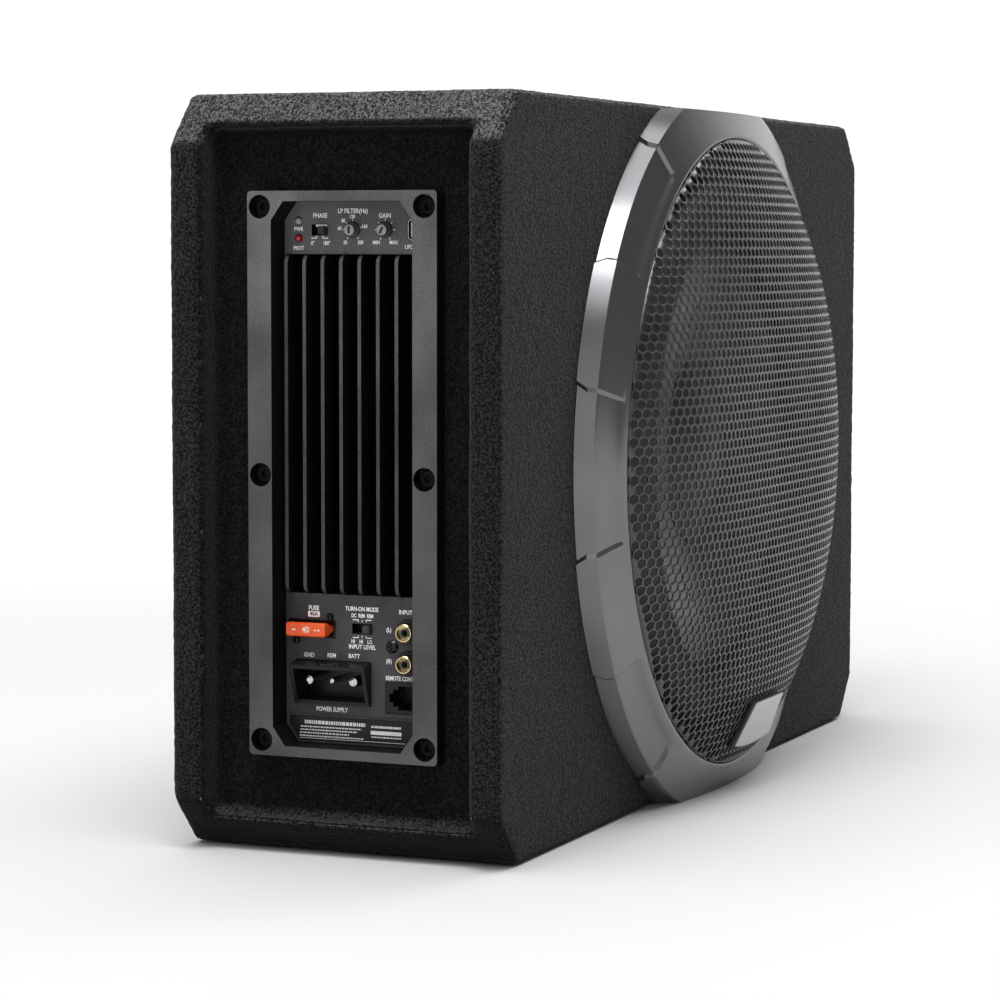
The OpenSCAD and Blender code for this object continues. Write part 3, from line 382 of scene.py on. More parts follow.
TIN = spun("tinned_blade", (0.60, 0.59, 0.56), (0.78, 0.77, 0.74), 0.25)
BRIGHT = spun("bright_nickel", (0.48, 0.48, 0.485), (0.6, 0.6, 0.605), 0.08)
GOLD = spun("gold_plate", (0.52, 0.42, 0.24), (0.70, 0.59, 0.37), 0.18)
INSULATOR = grained("socket_insulator", (0.06, 0.057, 0.054), (0.12, 0.114, 0.108), 0.4, 0.4, 0.008)
JACK_SHELL = grained("jack_shell", (0.006, 0.006, 0.0062), (0.012, 0.012, 0.0123), 0.4, 0.5, 0.012,
                     Specular_IOR_Level=0.3)
PORT_SHELL = spun("port_shell", (0.30, 0.30, 0.31), (0.5, 0.5, 0.51), 0.28)
LAMP_CLEAR = grained("lamp_clear", (0.20, 0.195, 0.18), (0.36, 0.35, 0.33), 0.22, 0.6, 0.01, Coat_Weight=0.6)
LAMP_RED = grained("lamp_red", (0.26, 0.005, 0.004), (0.45, 0.012, 0.010), 0.16, 0.6, 0.01, Coat_Weight=0.8)
LEVER = grained("lever_plastic", (0.006, 0.006, 0.0062), (0.012, 0.012, 0.0123), 0.4, 0.4, 0.01)
GREY_LEVER = grained("grey_lever_plastic", (0.018, 0.018, 0.0185), (0.032, 0.032, 0.033), 0.42, 0.4, 0.01)
WHITE_INK = grained("white_ink", (0.88, 0.88, 0.87), (0.95, 0.95, 0.94), 0.6, 0.25, 0.004)
LABEL_INK = grained("label_ink", grey(0.70), grey(0.82), 0.5, 0.25, 0.004)
KNOB = knob_plastic("knob_two_tone", (0.34, 0.34, 0.335), (0.006, 0.006, 0.0062), 0.4)

# The finish of each CAD piece that shows as it is
FINISHES = (
    (BOARD, "front_baffle back_panel top_panel bottom_panel far_end_panel corner_strips amp_end_panel"),
    (BASKET_COAT, "basket amp_cover"),
    (FOAM, "basket_gasket plate_gasket"),
    (DARK_SCREW, "woofer_screws plate_screws"),
    (FORMER, "coil_former"),
    (COPPER, "coil_winding toroid"),
    (STEEL, "top_plate pole_plate"),
    (FERRITE, "magnet"),
    (BLACK_PLASTIC, "terminal_block fuse_holder power_inlet rca_block phase_switch mode_switch pots"),
    (LEAD_SKIN, "speaker_leads"),
    (POWDER, "amp_plate"),
    (PCB, "main_board input_board control_board"),
    (EPOXY, "power_transistors"),
    (SLEEVE, "filter_capacitors"),
    (LABEL_FILM, "rating_label"),
    (GLOSSY_SCREW, "panel_screws"),
    (FUSE_SHELL, "blade_fuse"),
    (TIN, "fuse_blades"),
    (BRIGHT, "power_pins"),
    (GOLD, "rca_barrels"),
    (INSULATOR, "rca_insulators"),
    (JACK_SHELL, "remote_jack"),
    (PORT_SHELL, "service_port"),
    (LAMP_CLEAR, "power_led"),
    (LAMP_RED, "protect_led"),
    (LEVER, "phase_lever"),
    (GREY_LEVER, "mode_lever"),
    (KNOB, "filter_knob gain_knob"),
)
# Rounded edges of the moulded and cast pieces, in mm
ROUNDED = {
    "amp_plate": 0.45, "power_inlet": 0.3, "blade_fuse": 0.35, "remote_jack": 0.12, "rca_block": 0.15,
    "mode_lever": 0.2, "phase_lever": 0.2, "fuse_holder": 0.1, "filter_knob": 0.08, "gain_knob": 0.08,
}


def round_edges(piece, width_mm, segments, sharper_than):
    """Rounds the edges that turn by more than the given degrees."""
    bevel = piece.modifiers.new("bevel", "BEVEL")
    bevel.width, bevel.segments = width_mm * MM, segments
    bevel.limit_method, bevel.angle_limit = "ANGLE", math.radians(sharper_than)


def finish_nodes():
    """Gives the CAD pieces that stay their finishes and their rounded edges."""
    for material, names in FINISHES:
        for name in names.split():
            for slot in NODES[name].material_slots:
                slot.link = "OBJECT"
                slot.material = material
    for name, width in ROUNDED.items():
        node = NODES[name]
        weld = node.modifiers.new("weld", "WELD")
        weld.merge_threshold = 0.004 * MM
        flat = node.modifiers.new("flat", "DECIMATE")
        flat.decimate_type = "DISSOLVE"
        flat.angle_limit = math.radians(0.6)
        round_edges(node, width, 2, 32)


finish_nodes()


# ---- mesh helpers
def new_object(name, verts, faces, material, smooth=True, sharp_degrees=None):
    mesh = bpy.data.meshes.new(name)
    mesh.from_pydata([tuple(v) for v in verts], [], faces)
    mesh.validate()
    piece = add_object(name, mesh)
    mesh.materials.append(material)
    mesh.polygons.foreach_set("use_smooth", [smooth] * len(mesh.polygons))
    if sharp_degrees:
        mesh.set_sharp_from_angle(angle=math.radians(sharp_degrees))
    return piece


def apply_modifiers(piece):
    """Turns what the modifiers make into the piece's own mesh."""
    shape = piece.evaluated_get(bpy.context.evaluated_depsgraph_get())
    made = bpy.data.meshes.new_from_object(shape)
    piece.modifiers.clear()
    piece.data = made


def lathe(name, profile, turns, material, sharp_degrees=40):
    """A closed profile of (radius, distance behind the baffle's face), turned about the woofer."""
    verts, faces = [], []
    n = len(profile)
    for i in range(turns):
        angle = 2 * math.pi * i / turns
        verts.extend(woofer_point(radius, angle, depth) for radius, depth in profile)
    for i in range(turns):
        a, b = i * n, (i + 1) % turns * n
        for k in range(n):
            m = (k + 1) % n
            faces.append((a + k, a + m, b + m, b + k))
    piece = new_object(name, verts, faces, material, sharp_degrees=sharp_degrees)
    outward(piece)
    return piece


BOX_FACES = [(0, 1, 3, 2), (4, 6, 7, 5), (0, 4, 5, 1), (2, 3, 7, 6), (0, 2, 6, 4), (1, 5, 7, 3)]


def box_corners(lo, hi):
    """The corners of a box, in the order that BOX_FACES counts on."""
    return [(x, y, z) for x in (lo[0], hi[0]) for y in (lo[1], hi[1]) for z in (lo[2], hi[2])]


def opened(mesh):
    shape = bmesh.new()
    shape.from_mesh(mesh)
    return shape


def close(shape, mesh):
    shape.to_mesh(mesh)
    shape.free()


def outward(piece):
    """Turns every face to look out of the piece."""
    shape = opened(piece.data)
    bmesh.ops.recalc_face_normals(shape, faces=shape.faces)
    close(shape, piece.data)


def arc(cx, cy, radius, start, end, steps):
    """Points of an arc, angles in degrees."""
    turns = [math.radians(start + (end - start) * i / steps) for i in range(steps + 1)]
    return [(cx + radius * math.cos(a), cy + radius * math.sin(a)) for a in turns]


# ---- carpet
CHAMFER_X, CHAMFER_Z = 21 * MM, 23 * MM
SHEET_MM = 1.8  # the CAD's carpet is this thick
TOP_PANEL_LO, TOP_PANEL_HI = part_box("top_panel")
BAY_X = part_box("carpet_bay")[1].x - SHEET_MM * MM  # the bay's floor
BAY_RIM = TOP_PANEL_HI.z - TOP_PANEL_LO.z + 2 * SHEET_MM * MM  # width of the bay's frame
FELT_T = 1.5 * MM
VOXEL = 2 * MM  # mesh size of the pile
EDGE_ROUND = 5 * MM  # widest rounding of the carpet's edges, with its two shares
BAY_SHARE, OUTER_SHARE = 0.8, 0.6
CUTOUT_R, CUTOUT_Y, CUTOUT_Z = 160, 44.5, 124.5  # mm, cut away under the ring and under the plate


def octagon(margin):
    """The front view's outline as (x, z) points, shrunk a little."""
    ex, lo, hi = END_X - margin, margin, TOP_Z - margin
    cx, cz = CHAMFER_X, CHAMFER_Z
    return [(-ex + cx, lo), (ex - cx, lo), (ex, lo + cz), (ex, hi - cz),
            (ex - cx, hi), (-ex + cx, hi), (-ex, hi - cz), (-ex, lo + cz)]


def carpet_block():
    """The whole carpeted box as one solid with its bay cut out."""
    margin = 0.3 * MM
    points = octagon(margin)
    front, back = FRONT_Y + margin, BACK_Y - margin
    verts = [(x, front, z) for x, z in points] + [(x, back, z) for x, z in points]
    faces = [tuple(range(8)), tuple(range(15, 7, -1))]
    faces += [(i, i + 8, (i + 1) % 8 + 8, (i + 1) % 8) for i in range(8)]
    block = new_object("carpet_block", verts, faces, CARPET)
    outward(block)
    lo = Vector((-END_X - 0.05, FRONT_Y + BAY_RIM, BAY_RIM))
    hi = Vector((BAY_X, BACK_Y - BAY_RIM, TOP_Z - BAY_RIM))
    bay = new_object("bay_cutter", box_corners(lo, hi), BOX_FACES, CARPET)
    outward(bay)
    cut = block.modifiers.new("cut", "BOOLEAN")
    cut.operation, cut.solver, cut.object = "DIFFERENCE", "EXACT", bay
    apply_modifiers(block)
    bpy.data.objects.remove(bay)
    soften_edges(block)
    edges = block.modifiers.new("edges", "BEVEL")
    edges.width, edges.segments, edges.limit_method = EDGE_ROUND, 5, "WEIGHT"
    apply_modifiers(block)
    return block


def soften_edges(block):
    """Rounds the bay's rim and corners more than the cabinet's outer edges."""
    shape = opened(block.data)
    bmesh.ops.dissolve_limit(shape, angle_limit=math.radians(1), verts=shape.verts[:], edges=shape.edges[:])
    weight = shape.edges.layers.float.new("bevel_weight_edge")
    for e in shape.edges:
        if len(e.link_faces) != 2 or e.calc_face_angle() < math.radians(15):
            continue
        mid = (e.verts[0].co + e.verts[1].co) / 2
        inside = FRONT_Y + 10 * MM < mid.y < BACK_Y - 10 * MM and 10 * MM < mid.z < TOP_Z - 10 * MM
        e[weight] = BAY_SHARE if inside and mid.x < BAY_X + 5 * MM else OUTER_SHARE
    close(shape, block.data)


def carpet_part(face):
    """Which piece of carpet a face belongs to, by where it lies."""
    c, n = face.calc_center_median(), face.normal
    if c.y < FRONT_Y + 2.2 * MM:
        return "front"
    if c.y > BACK_Y - 2.2 * MM:
        return "back"
    in_bay = (FRONT_Y + BAY_RIM - 1.5 * MM < c.y < BACK_Y - BAY_RIM + 1.5 * MM
              and BAY_RIM - 1.5 * MM < c.z < TOP_Z - BAY_RIM + 1.5 * MM)
    if c.x < BAY_X + 5 * MM and in_bay and not (n.x < -0.6 and c.x < BAY_X - 12 * MM):
        return "bay"
    if c.z < 2 * MM and n.z < -0.7:
        return "bottom"
    return "wrap"


def under_trim(face):
    """True where the trim ring or the amplifier plate stands on the carpet and the board is cut out."""
    c = face.calc_center_median()
    if c.y < FRONT_Y + 3 * MM and from_axis_mm(c) < CUTOUT_R:
        return True
    on_bay_floor = -3 * MM < c.x - BAY_X < 5 * MM and face.normal.x < -0.8
    return on_bay_floor and abs(c.y - PLATE_Y) < CUTOUT_Y * MM and abs(c.z - PLATE_Z) < CUTOUT_Z * MM


def make_carpet():
    """Short pile over the whole box, parted into the five pieces of carpet."""
    block = carpet_block()
    net = block.modifiers.new("net", "REMESH")
    net.mode, net.voxel_size, net.adaptivity, net.use_smooth_shade = "VOXEL", VOXEL, 0, True
    apply_modifiers(block)
    mesh = block.data
    normals = [Vector(v.normal) for v in mesh.vertices]
    for v, n in zip(mesh.vertices, normals):
        p = v.co * 1000
        tuft = noise.noise(p / 2.3) + 0.6 * noise.noise(p / 1.1 + Vector((7, 3, 1)))
        swell = noise.noise(p / 45)
        v.co += n * (0.30 * tuft + 0.25 * swell - 0.15) * MM
    sheets = {"front": "carpet_front", "back": "carpet_back", "bay": "carpet_bay", "bottom": "carpet_bottom",
              "wrap": "carpet_wrap"}
    for part, node in sheets.items():
        shape = opened(mesh)
        shape.normal_update()
        drop = [f for f in shape.faces if under_trim(f) or carpet_part(f) != part]
        bmesh.ops.delete(shape, geom=drop, context="FACES")
        felt_mesh = bpy.data.meshes.new(node + "_felt")
        close(shape, felt_mesh)
        felt_mesh.materials.clear()
        # Painted shade: the bay gets the darker copy of the felt.
        felt_mesh.materials.append(SHADED_BAY_CARPET if part == "bay" else CARPET)
        felt_mesh.shade_smooth()
        piece = add_object(node + "_felt", felt_mesh)
        solid = piece.modifiers.new("thickness", "SOLIDIFY")
        solid.thickness, solid.offset = FELT_T, -1
        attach(piece, "cabinet")
        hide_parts(node)
    bpy.data.objects.remove(block)


make_carpet()


# ---- trim ring
RING_LO, RING_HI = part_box("trim_ring")
RING_R, RING_TOP_R, RING_LIP_R, RING_OPEN_R = 181.4, 179.8, 157.5, 156
SIDE_LEAN = 0.265  # how far the side leans in, per mm of height
SIDE_H, RING_H = 9.4, 17.4
POCKETS = (-45, 0, 45, 135, 180, 225)  # middles of the pockets, in degrees
POCKET_R0, POCKET_R1 = 160, 164  # the fillet at a pocket's inner edge
POCKET_DEPTH = 1.5
POCKET_HALF = 13  # degrees
POCKET_SLOPE = 0.6  # degrees taken by a pocket's sloping end
POCKET_REACH = 22.0  # degrees from a pocket's middle, where its narrowing ends
TURN_STEP = 1.5  # degrees between two sections of the ring


def ring_face_h(radius):
    return SIDE_H + (RING_TOP_R - radius) * (RING_H - SIDE_H) / (RING_TOP_R - RING_LIP_R)


def ring_profile(sunk):
    """(radius, height) from the foot of the inner wall over the face to the foot of the outer wall."""
    depth = POCKET_DEPTH * sunk

    def drop(radius):
        return depth * ease((radius - POCKET_R0) / (POCKET_R1 - POCKET_R0))

    foot_r = RING_R - depth
    edge_r = foot_r - SIDE_H * SIDE_LEAN
    radii = [RING_LIP_R, 158.7, POCKET_R0, 161, 162, 163, POCKET_R1, 169, 175]
    line = [(RING_OPEN_R, 0), (RING_OPEN_R, RING_H - 0.4), (RING_OPEN_R + 0.4, RING_H)]
    line += [(r, ring_face_h(r) - drop(r)) for r in radii]
    line += [(edge_r - 0.8, ring_face_h(edge_r - 0.8) - depth)]
    line += [(edge_r - 0.1, ring_face_h(edge_r) - depth - 0.1)]
    line += [(foot_r - h * SIDE_LEAN, h) for h in (SIDE_H - 0.5, SIDE_H / 2, 0)]
    return line


def turn_from(centre, angle):
    """The turn from one angle to the other, between -180 and 180 degrees."""
    return (angle - centre + 180) % 360 - 180


def pocket_turn(angle, radius, height):
    """Turns a point near a pocket's end, so that the pocket narrows towards the opening."""
    centre = min(POCKETS, key=lambda c: abs(turn_from(c, angle)))
    away = turn_from(centre, angle)
    half = 13.1 if height < 1 else 12.2 - 0.5 * (RING_TOP_R - radius) / (RING_TOP_R - POCKET_R0)
    inside = POCKET_HALF + POCKET_SLOPE
    if abs(away) <= inside:
        return centre + away * half / POCKET_HALF
    if abs(away) >= POCKET_REACH:
        return angle
    edge = inside * half / POCKET_HALF
    turned = edge + (abs(away) - inside) * (POCKET_REACH - edge) / (POCKET_REACH - inside)
    return centre + math.copysign(turned, away)


def ring_angles():
    """(angle in degrees, how far the pocket has sunk there) round the whole ring."""
    stops = []
    for c in POCKETS:
        for s, sunk in ((-POCKET_HALF - POCKET_SLOPE / 2, 0), (-POCKET_HALF + POCKET_SLOPE / 2, 1),
                        (POCKET_HALF - POCKET_SLOPE / 2, 1), (POCKET_HALF + POCKET_SLOPE / 2, 0)):
            stops.append(((c + s) % 360, sunk))
    for i in range(240):
        angle = i * TURN_STEP
        near = [abs(turn_from(c, angle)) for c in POCKETS]
        if min(abs(d - POCKET_HALF) for d in near) > POCKET_SLOPE:
            stops.append((angle, 1 if min(near) < POCKET_HALF else 0))
    return sorted(stops)


def make_ring():
    """The painted ring, cut off flat at its top and bottom."""
    stops = ring_angles()
    n = len(ring_profile(0))
    verts, faces = [], []
    for angle, sunk in stops:
        for r, h in ring_profile(sunk):
            verts.append(woofer_point(r, math.radians(pocket_turn(angle, r, h)), -h, FRONT_Y))
    for i in range(len(stops)):
        a, b = i * n, (i + 1) % len(stops) * n
        for k in range(n):
            m = (k + 1) % n
            faces.append((a + k, b + k, b + m, a + m))
    ring = new_object("trim_ring_painted", verts, faces, RING_PAINT)
    outward(ring)
    shape = opened(ring.data)
    for z, way in ((RING_HI.z, 1), (RING_LO.z, -1)):
        cut = bmesh.ops.bisect_plane(shape, geom=shape.verts[:] + shape.edges[:] + shape.faces[:],
                                     plane_co=(0, 0, z), plane_no=(0, 0, way), clear_outer=True)
        rim = [e for e in cut["geom_cut"] if isinstance(e, bmesh.types.BMEdge)]
        bmesh.ops.holes_fill(shape, edges=rim)
    bmesh.ops.recalc_face_normals(shape, faces=shape.faces)
    close(shape, ring.data)
    ring.data.shade_smooth()
    round_edges(ring, 0.28, 2, 30)
    apply_modifiers(ring)
    ring.data.set_sharp_from_angle(angle=math.radians(14))
    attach(ring, "cabinet")
    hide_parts("trim_ring")


make_ring()

# ---- grille
GRILLE_R = RING_OPEN_R - 0.25
DOME_H = (FRONT_Y - GRILLE_LO.y) * 1000 - RING_H
HEX_PITCH = 5.0
HEX_WEB = 0.8
SHEET_T = 0.95


def dome_h(radius):
    return RING_H + DOME_H * (1 - min(1, radius / GRILLE_R) ** 4)


def make_grille():
    """A domed sheet with a honeycomb of holes, turned down into the ring at its rim."""
    verts, faces, index = [], [], {}
    row = HEX_PITCH * math.sqrt(3) / 2
    corner = HEX_PITCH / math.sqrt(3)
    hole = corner * (1 - HEX_WEB / HEX_PITCH)
    edge_r = GRILLE_R - 0.5
    turns = [math.radians(30 + 60 * k) for k in range(6)]

    def vertex(x, z):
        r = math.hypot(x, z)
        if r > GRILLE_R:
            x, z, r = x * GRILLE_R / r, z * GRILLE_R / r, GRILLE_R
        key = (round(x * 100), round(z * 100))
        if key not in index:
            index[key] = len(verts)
            verts.append((AXIS_X + x * MM, FRONT_Y - dome_h(r) * MM, AXIS_Z + z * MM))
        return index[key]

    def hole_vertex(x, z):
        shrink = min(1, edge_r / math.hypot(x, z))
        return vertex(x * shrink, z * shrink)

    reach = int(GRILLE_R / row) + 2
    for j in range(-reach, reach + 1):
        for i in range(-reach, reach + 1):
            cx, cz = (i + 0.5 * (j % 2)) * HEX_PITCH, j * row
            far = math.hypot(cx, cz)
            if far > GRILLE_R + corner * 0.55:
                continue
            outer = [vertex(cx + corner * math.cos(a), cz + corner * math.sin(a)) for a in turns]
            if far < edge_r - 0.5:
                inner = [hole_vertex(cx + hole * math.cos(a), cz + hole * math.sin(a)) for a in turns]
                for k in range(6):
                    m = (k + 1) % 6
                    faces.append((outer[k], outer[m], inner[m], inner[k]))
            elif len(set(outer)) > 2:
                faces.append(tuple(dict.fromkeys(outer)))
    grille = new_object("grille_mesh", verts, faces, GRILLE_COAT)
    shape = opened(grille.data)
    bmesh.ops.recalc_face_normals(shape, faces=shape.faces)
    if sum(f.normal.y for f in shape.faces) > 0:
        bmesh.ops.reverse_faces(shape, faces=shape.faces)
    close(shape, grille.data)
    sheet = grille.modifiers.new("sheet", "SOLIDIFY")
    sheet.thickness, sheet.offset = SHEET_T * MM, -1
    apply_modifiers(grille)
    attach(grille, "cabinet")
    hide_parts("grille")


make_grille()


def make_grille_rim():
    """The turned-down edge of the grille, out of sight inside the ring."""
    foot, lip_r = 3.9, 152.5
    profile = [(GRILLE_R, RING_H - 0.5), (GRILLE_R, foot), (lip_r, foot), (lip_r, foot + 1),
               (GRILLE_R - 1, foot + 1), (GRILLE_R - 1, RING_H - 0.5)]
    behind = (BAFFLE_Y - FRONT_Y) * 1000
    rim = lathe("grille_rim", [(r, -h - behind) for r, h in profile], 180, GRILLE_COAT)
    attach(rim, "cabinet")


make_grille_rim()


# ---- woofer, seen through the grille
FLANGE = -5.5  # front of the basket's flange
ROLL_R, ROLL_OUT, ROLL_T = 124.5, 14, 1.5
CONE_R, RIDGE_R, DISH_R, NECK_R = 111.5, 85, 45, 32.5
RIDGE = -12.6  # top of the cone's ridge


def make_surround():
    """The half roll round the cone."""
    roll_z = FLANGE - 1.2
    profile = [(140.7, FLANGE), (140.7, roll_z)]
    profile += arc(ROLL_R, roll_z, ROLL_OUT, 0, -180, 24)
    profile += [(107.5, roll_z), (107.5, FLANGE - 0.15), (112, FLANGE - 0.15)]
    profile += arc(ROLL_R, roll_z, ROLL_OUT - ROLL_T, -180, 0, 24)
    profile += [(137, FLANGE)]
    roll = lathe("surround_roll", profile, 160, RUBBER, 50)
    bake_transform(roll)
    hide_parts("surround")


def make_spider():
    """Corrugated cloth between the cone's neck and its shelf in the basket."""
    inner_r, outer_r, cloth, shelf = NECK_R, 67, 0.7, 27.7
    wave_0, wave_1, half_waves, wave_h = 35.5, 57.5, 7, 1.4
    line = []
    for i in range(71):
        r = inner_r + (outer_r - inner_r) * i / 70
        t = (r - wave_0) / (wave_1 - wave_0)
        line.append((r, shelf - (wave_h * math.sin(half_waves * math.pi * t) if 0 < t < 1 else 0)))
    cloth_line = [(r, z + cloth) for r, z in reversed(line)]
    spider = lathe("spider_cloth", line + cloth_line, 120, SPIDER_CLOTH, 60)
    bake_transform(spider)
    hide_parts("spider")


def make_cone():
    """The pressed cone, a closed skin with a raised ridge near its rim."""
    profile = [(CONE_R, FLANGE), (CONE_R, FLANGE + 1.3), (106.5, FLANGE + 1.3), (RIDGE_R + 1.6, RIDGE + 1.8),
               (RIDGE_R - 1.6, RIDGE + 1.8), (DISH_R, 5.6), (NECK_R + 1.6, 12), (NECK_R, 12), (NECK_R, 9),
               (DISH_R - 0.6, 4)]
    profile += [(DISH_R + 12, 4 - 12 * 0.40), (DISH_R + 26, 4 - 26 * 0.415)]
    profile += [(RIDGE_R - 2.6, RIDGE + 0.9), (RIDGE_R - 1.8, RIDGE + 0.2), (RIDGE_R - 0.8, RIDGE - 0.15),
                (RIDGE_R + 0.8, RIDGE - 0.15), (RIDGE_R + 1.8, RIDGE + 0.2), (RIDGE_R + 2.6, RIDGE + 0.8),
                (RIDGE_R + 12, -10), (107.2, -6.2), (107.3, FLANGE)]
    cone = lathe("cone_pulp", profile, 160, CONE_PULP, 35)
    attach(cone, "cone_assembly")
    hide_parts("cone")


def make_beads():
    """A ring of small domed beads on the cone's ridge."""
    count, sides = 110, 8
    rings = ((1.15, 0), (0.95, 0.55), (0.5, 0.95))  # (radius, rise) of a bead's rings
    beads, faces = [], []
    for i in range(count):
        angle = 2 * math.pi * i / count
        base = len(beads)
        for level, (spread, rise) in enumerate(rings):
            for k in range(sides):
                a = 2 * math.pi * k / sides
                r = RIDGE_R + spread * math.cos(a)
                turn = angle + spread * math.sin(a) / RIDGE_R
                beads.append(woofer_point(r, turn, RIDGE + 0.05 - rise))
            if level:
                lo, hi = base + (level - 1) * sides, base + level * sides
                for k in range(sides):
                    m = (k + 1) % sides
                    faces.append((lo + k, lo + m, hi + m, hi + k))
        top = base + (len(rings) - 1) * sides
        faces.append(tuple(top + k for k in range(sides)))
        faces.append(tuple(base + k for k in reversed(range(sides))))
    piece = new_object("cone_beads", beads, faces, BEAD)
    outward(piece)
    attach(piece, "cone_assembly")


def make_dust_cap():
    """A shallow bulging cap over the cone's neck."""
    rim_r, rise, rim_z = 46, 8, 2.6
    ball = (rim_r ** 2 + rise ** 2) / (2 * rise)
    half = math.degrees(math.asin(rim_r / ball))
    profile = arc(0, rim_z - rise + ball, ball, -90, half - 90, 14)
    profile[0] = (0.02, profile[0][1])
    inner = arc(0, rim_z - rise + ball, ball - 0.8, half - 90, -90, 14)
    inner[-1] = (0.02, inner[-1][1])
    cap = lathe("dust_cap_pulp", profile + inner, 120, CAP_PULP, 40)
    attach(cap, "cone_assembly")
    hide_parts("dust_cap")


make_surround()
make_spider()
make_cone()
make_beads()
make_dust_cap()


# ---- badge
def make_badge():
    """A blank plate that stands on the grille near its lower edge."""
    top_r, foot_r, half_top, half_foot = 123.0, 147.5, 21.5, 27.5
    rows, cols = 12, 24
    deep, stand, tilt = 25, 3.0, 23.2  # mm down the badge, mm off the grille, degrees of its face
    face_top, face_slope = dome_h(top_r) + stand, math.tan(math.radians(tilt))

    def place(u, t, level):
        """u across and t down the badge, level mm above its face's plane, or on the grille if None."""
        x = (half_top + (half_foot - half_top) * t) * u
        z = top_r + (math.sqrt(foot_r ** 2 - x * x) - top_r) * t
        face = face_top - (z - top_r) * face_slope
        h = dome_h(math.hypot(x, z)) + 0.1 if level is None else face + level
        return Vector((AXIS_X + x * MM, FRONT_Y - h * MM, AXIS_Z - z * MM))

    def plate(name, inset, low, high, material, rounding):
        """A slab between two levels, inset from the badge's outline."""
        verts, faces = [], []
        w = cols + 1
        size = w * (rows + 1)
        for level in (low, high):
            for j in range(rows + 1):
                for i in range(w):
                    u = (2 * i / cols - 1) * (1 - inset / half_top)
                    verts.append(place(u, inset / deep + (1 - 2 * inset / deep) * j / rows, level))
        for j in range(rows):
            for i in range(cols):
                a = j * w + i
                faces.append((size + a, size + a + 1, size + a + w + 1, size + a + w))
                faces.append((a, a + w, a + w + 1, a + 1))
        rim = list(range(w)) + [j * w + cols for j in range(1, rows + 1)]
        rim += [rows * w + i for i in range(cols - 1, -1, -1)] + [j * w for j in range(rows - 1, 0, -1)]
        for k, a in enumerate(rim):
            b = rim[(k + 1) % len(rim)]
            faces.append((a, b, b + size, a + size))
        piece = new_object(name, verts, faces, material)
        outward(piece)
        round_edges(piece, rounding, 3, 35)
        apply_modifiers(piece)
        piece.data.set_sharp_from_angle(angle=math.radians(20))
        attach(piece, "cabinet")
        return piece

    # Painted shade: the body, seen at the badge's sides, gets the darker copy of the face's paint.
    body = plate("badge_body", 0, None, -0.3, SHADED_BADGE_SIDE, 0.35)
    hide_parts("badge")
    plate("badge_face", 0.5, -0.6, 0.0, BADGE_METAL, 0.2)


make_badge()


# ---- legends on the panel
PANEL_Z = -PANEL_DEPTH / MM  # the panel's face in the plate's frame, in mm
INK_T = 0.05
# Middle of the ink on the panel, on the fuse rating's white field and on the rating label
INK_Z, FIELD_INK_Z, LABEL_INK_Z = PANEL_Z + 0.03, PANEL_Z + 0.09, PANEL_Z + 0.43


def text_mesh(words, height, bold):
    """Flat letters in the plate's x and y, centred, capital height in mm."""
    data = bpy.data.curves.new("words", "FONT")
    data.body, data.size = words, height / 0.70
    data.align_x, data.align_y = "CENTER", "CENTER"
    data.offset, data.resolution_u = bold, 3
    words_object = add_object("words", data)
    mesh = bpy.data.meshes.new_from_object(words_object.evaluated_get(bpy.context.evaluated_depsgraph_get()))
    points = [v.co.copy() for v in mesh.vertices]
    faces = [tuple(p.vertices) for p in mesh.polygons]
    bpy.data.objects.remove(words_object)
    bpy.data.meshes.remove(mesh)
    return points, faces


class Print:
    """Marks printed on a flat face of the plate's frame."""

    def __init__(self, z):
        self.z, self.verts, self.faces = z, [], []

    def add(self, points, faces):
        start = len(self.verts)
        self.verts.extend(amp_point(x * MM, y * MM, self.z * MM) for x, y in points)
        self.faces.extend(tuple(start + i for i in f) for f in faces)

    def words(self, words, x, y, height=1.9, narrow=0.86, bold=0.055):
        points, faces = text_mesh(words, height, bold)
        self.add([(x + p.x * narrow, y + p.y) for p in points], faces)

    def bar(self, x0, y0, x1, y1):
        """A filled rectangle between any two opposite corners."""
        (x0, x1), (y0, y1) = sorted((x0, x1)), sorted((y0, y1))
        self.add([(x0, y0), (x1, y0), (x1, y1), (x0, y1)], [(0, 1, 2, 3)])

    def tick(self, cx, cy, r0, r1, clock_degrees, wide=0.3):
        """A short line pointing out from a knob, its angle clockwise from the top."""
        a = math.radians(clock_degrees)
        along, side = Vector((math.sin(a), math.cos(a))), Vector((math.cos(a), -math.sin(a))) * wide / 2
        at = Vector((cx, cy))
        near, far = at + along * r0, at + along * r1
        self.add([near - side, near + side, far + side, far - side], [(0, 1, 2, 3)])

    def piece(self, name, material, slot, body="cabinet"):
        made = new_object(name, self.verts, self.faces, material, smooth=False)
        outward(made)
        ink = made.modifiers.new("ink", "SOLIDIFY")
        ink.thickness, ink.offset = INK_T * MM, 0
        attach(made, body)


# Places of the controls in the plate's frame, in mm
KNOB_Y, FILTER_X, GAIN_X, PHASE_X, LED_X, SERVICE_X = 108.8, -0.8, 15, -17, -27.4, 27.4
MODE_X, MODE_Y, FUSE_X, FUSE_Y, RCA_X, INLET_X = 3.4, -68.7, -21.3, -69.5, 25.9, -10.9


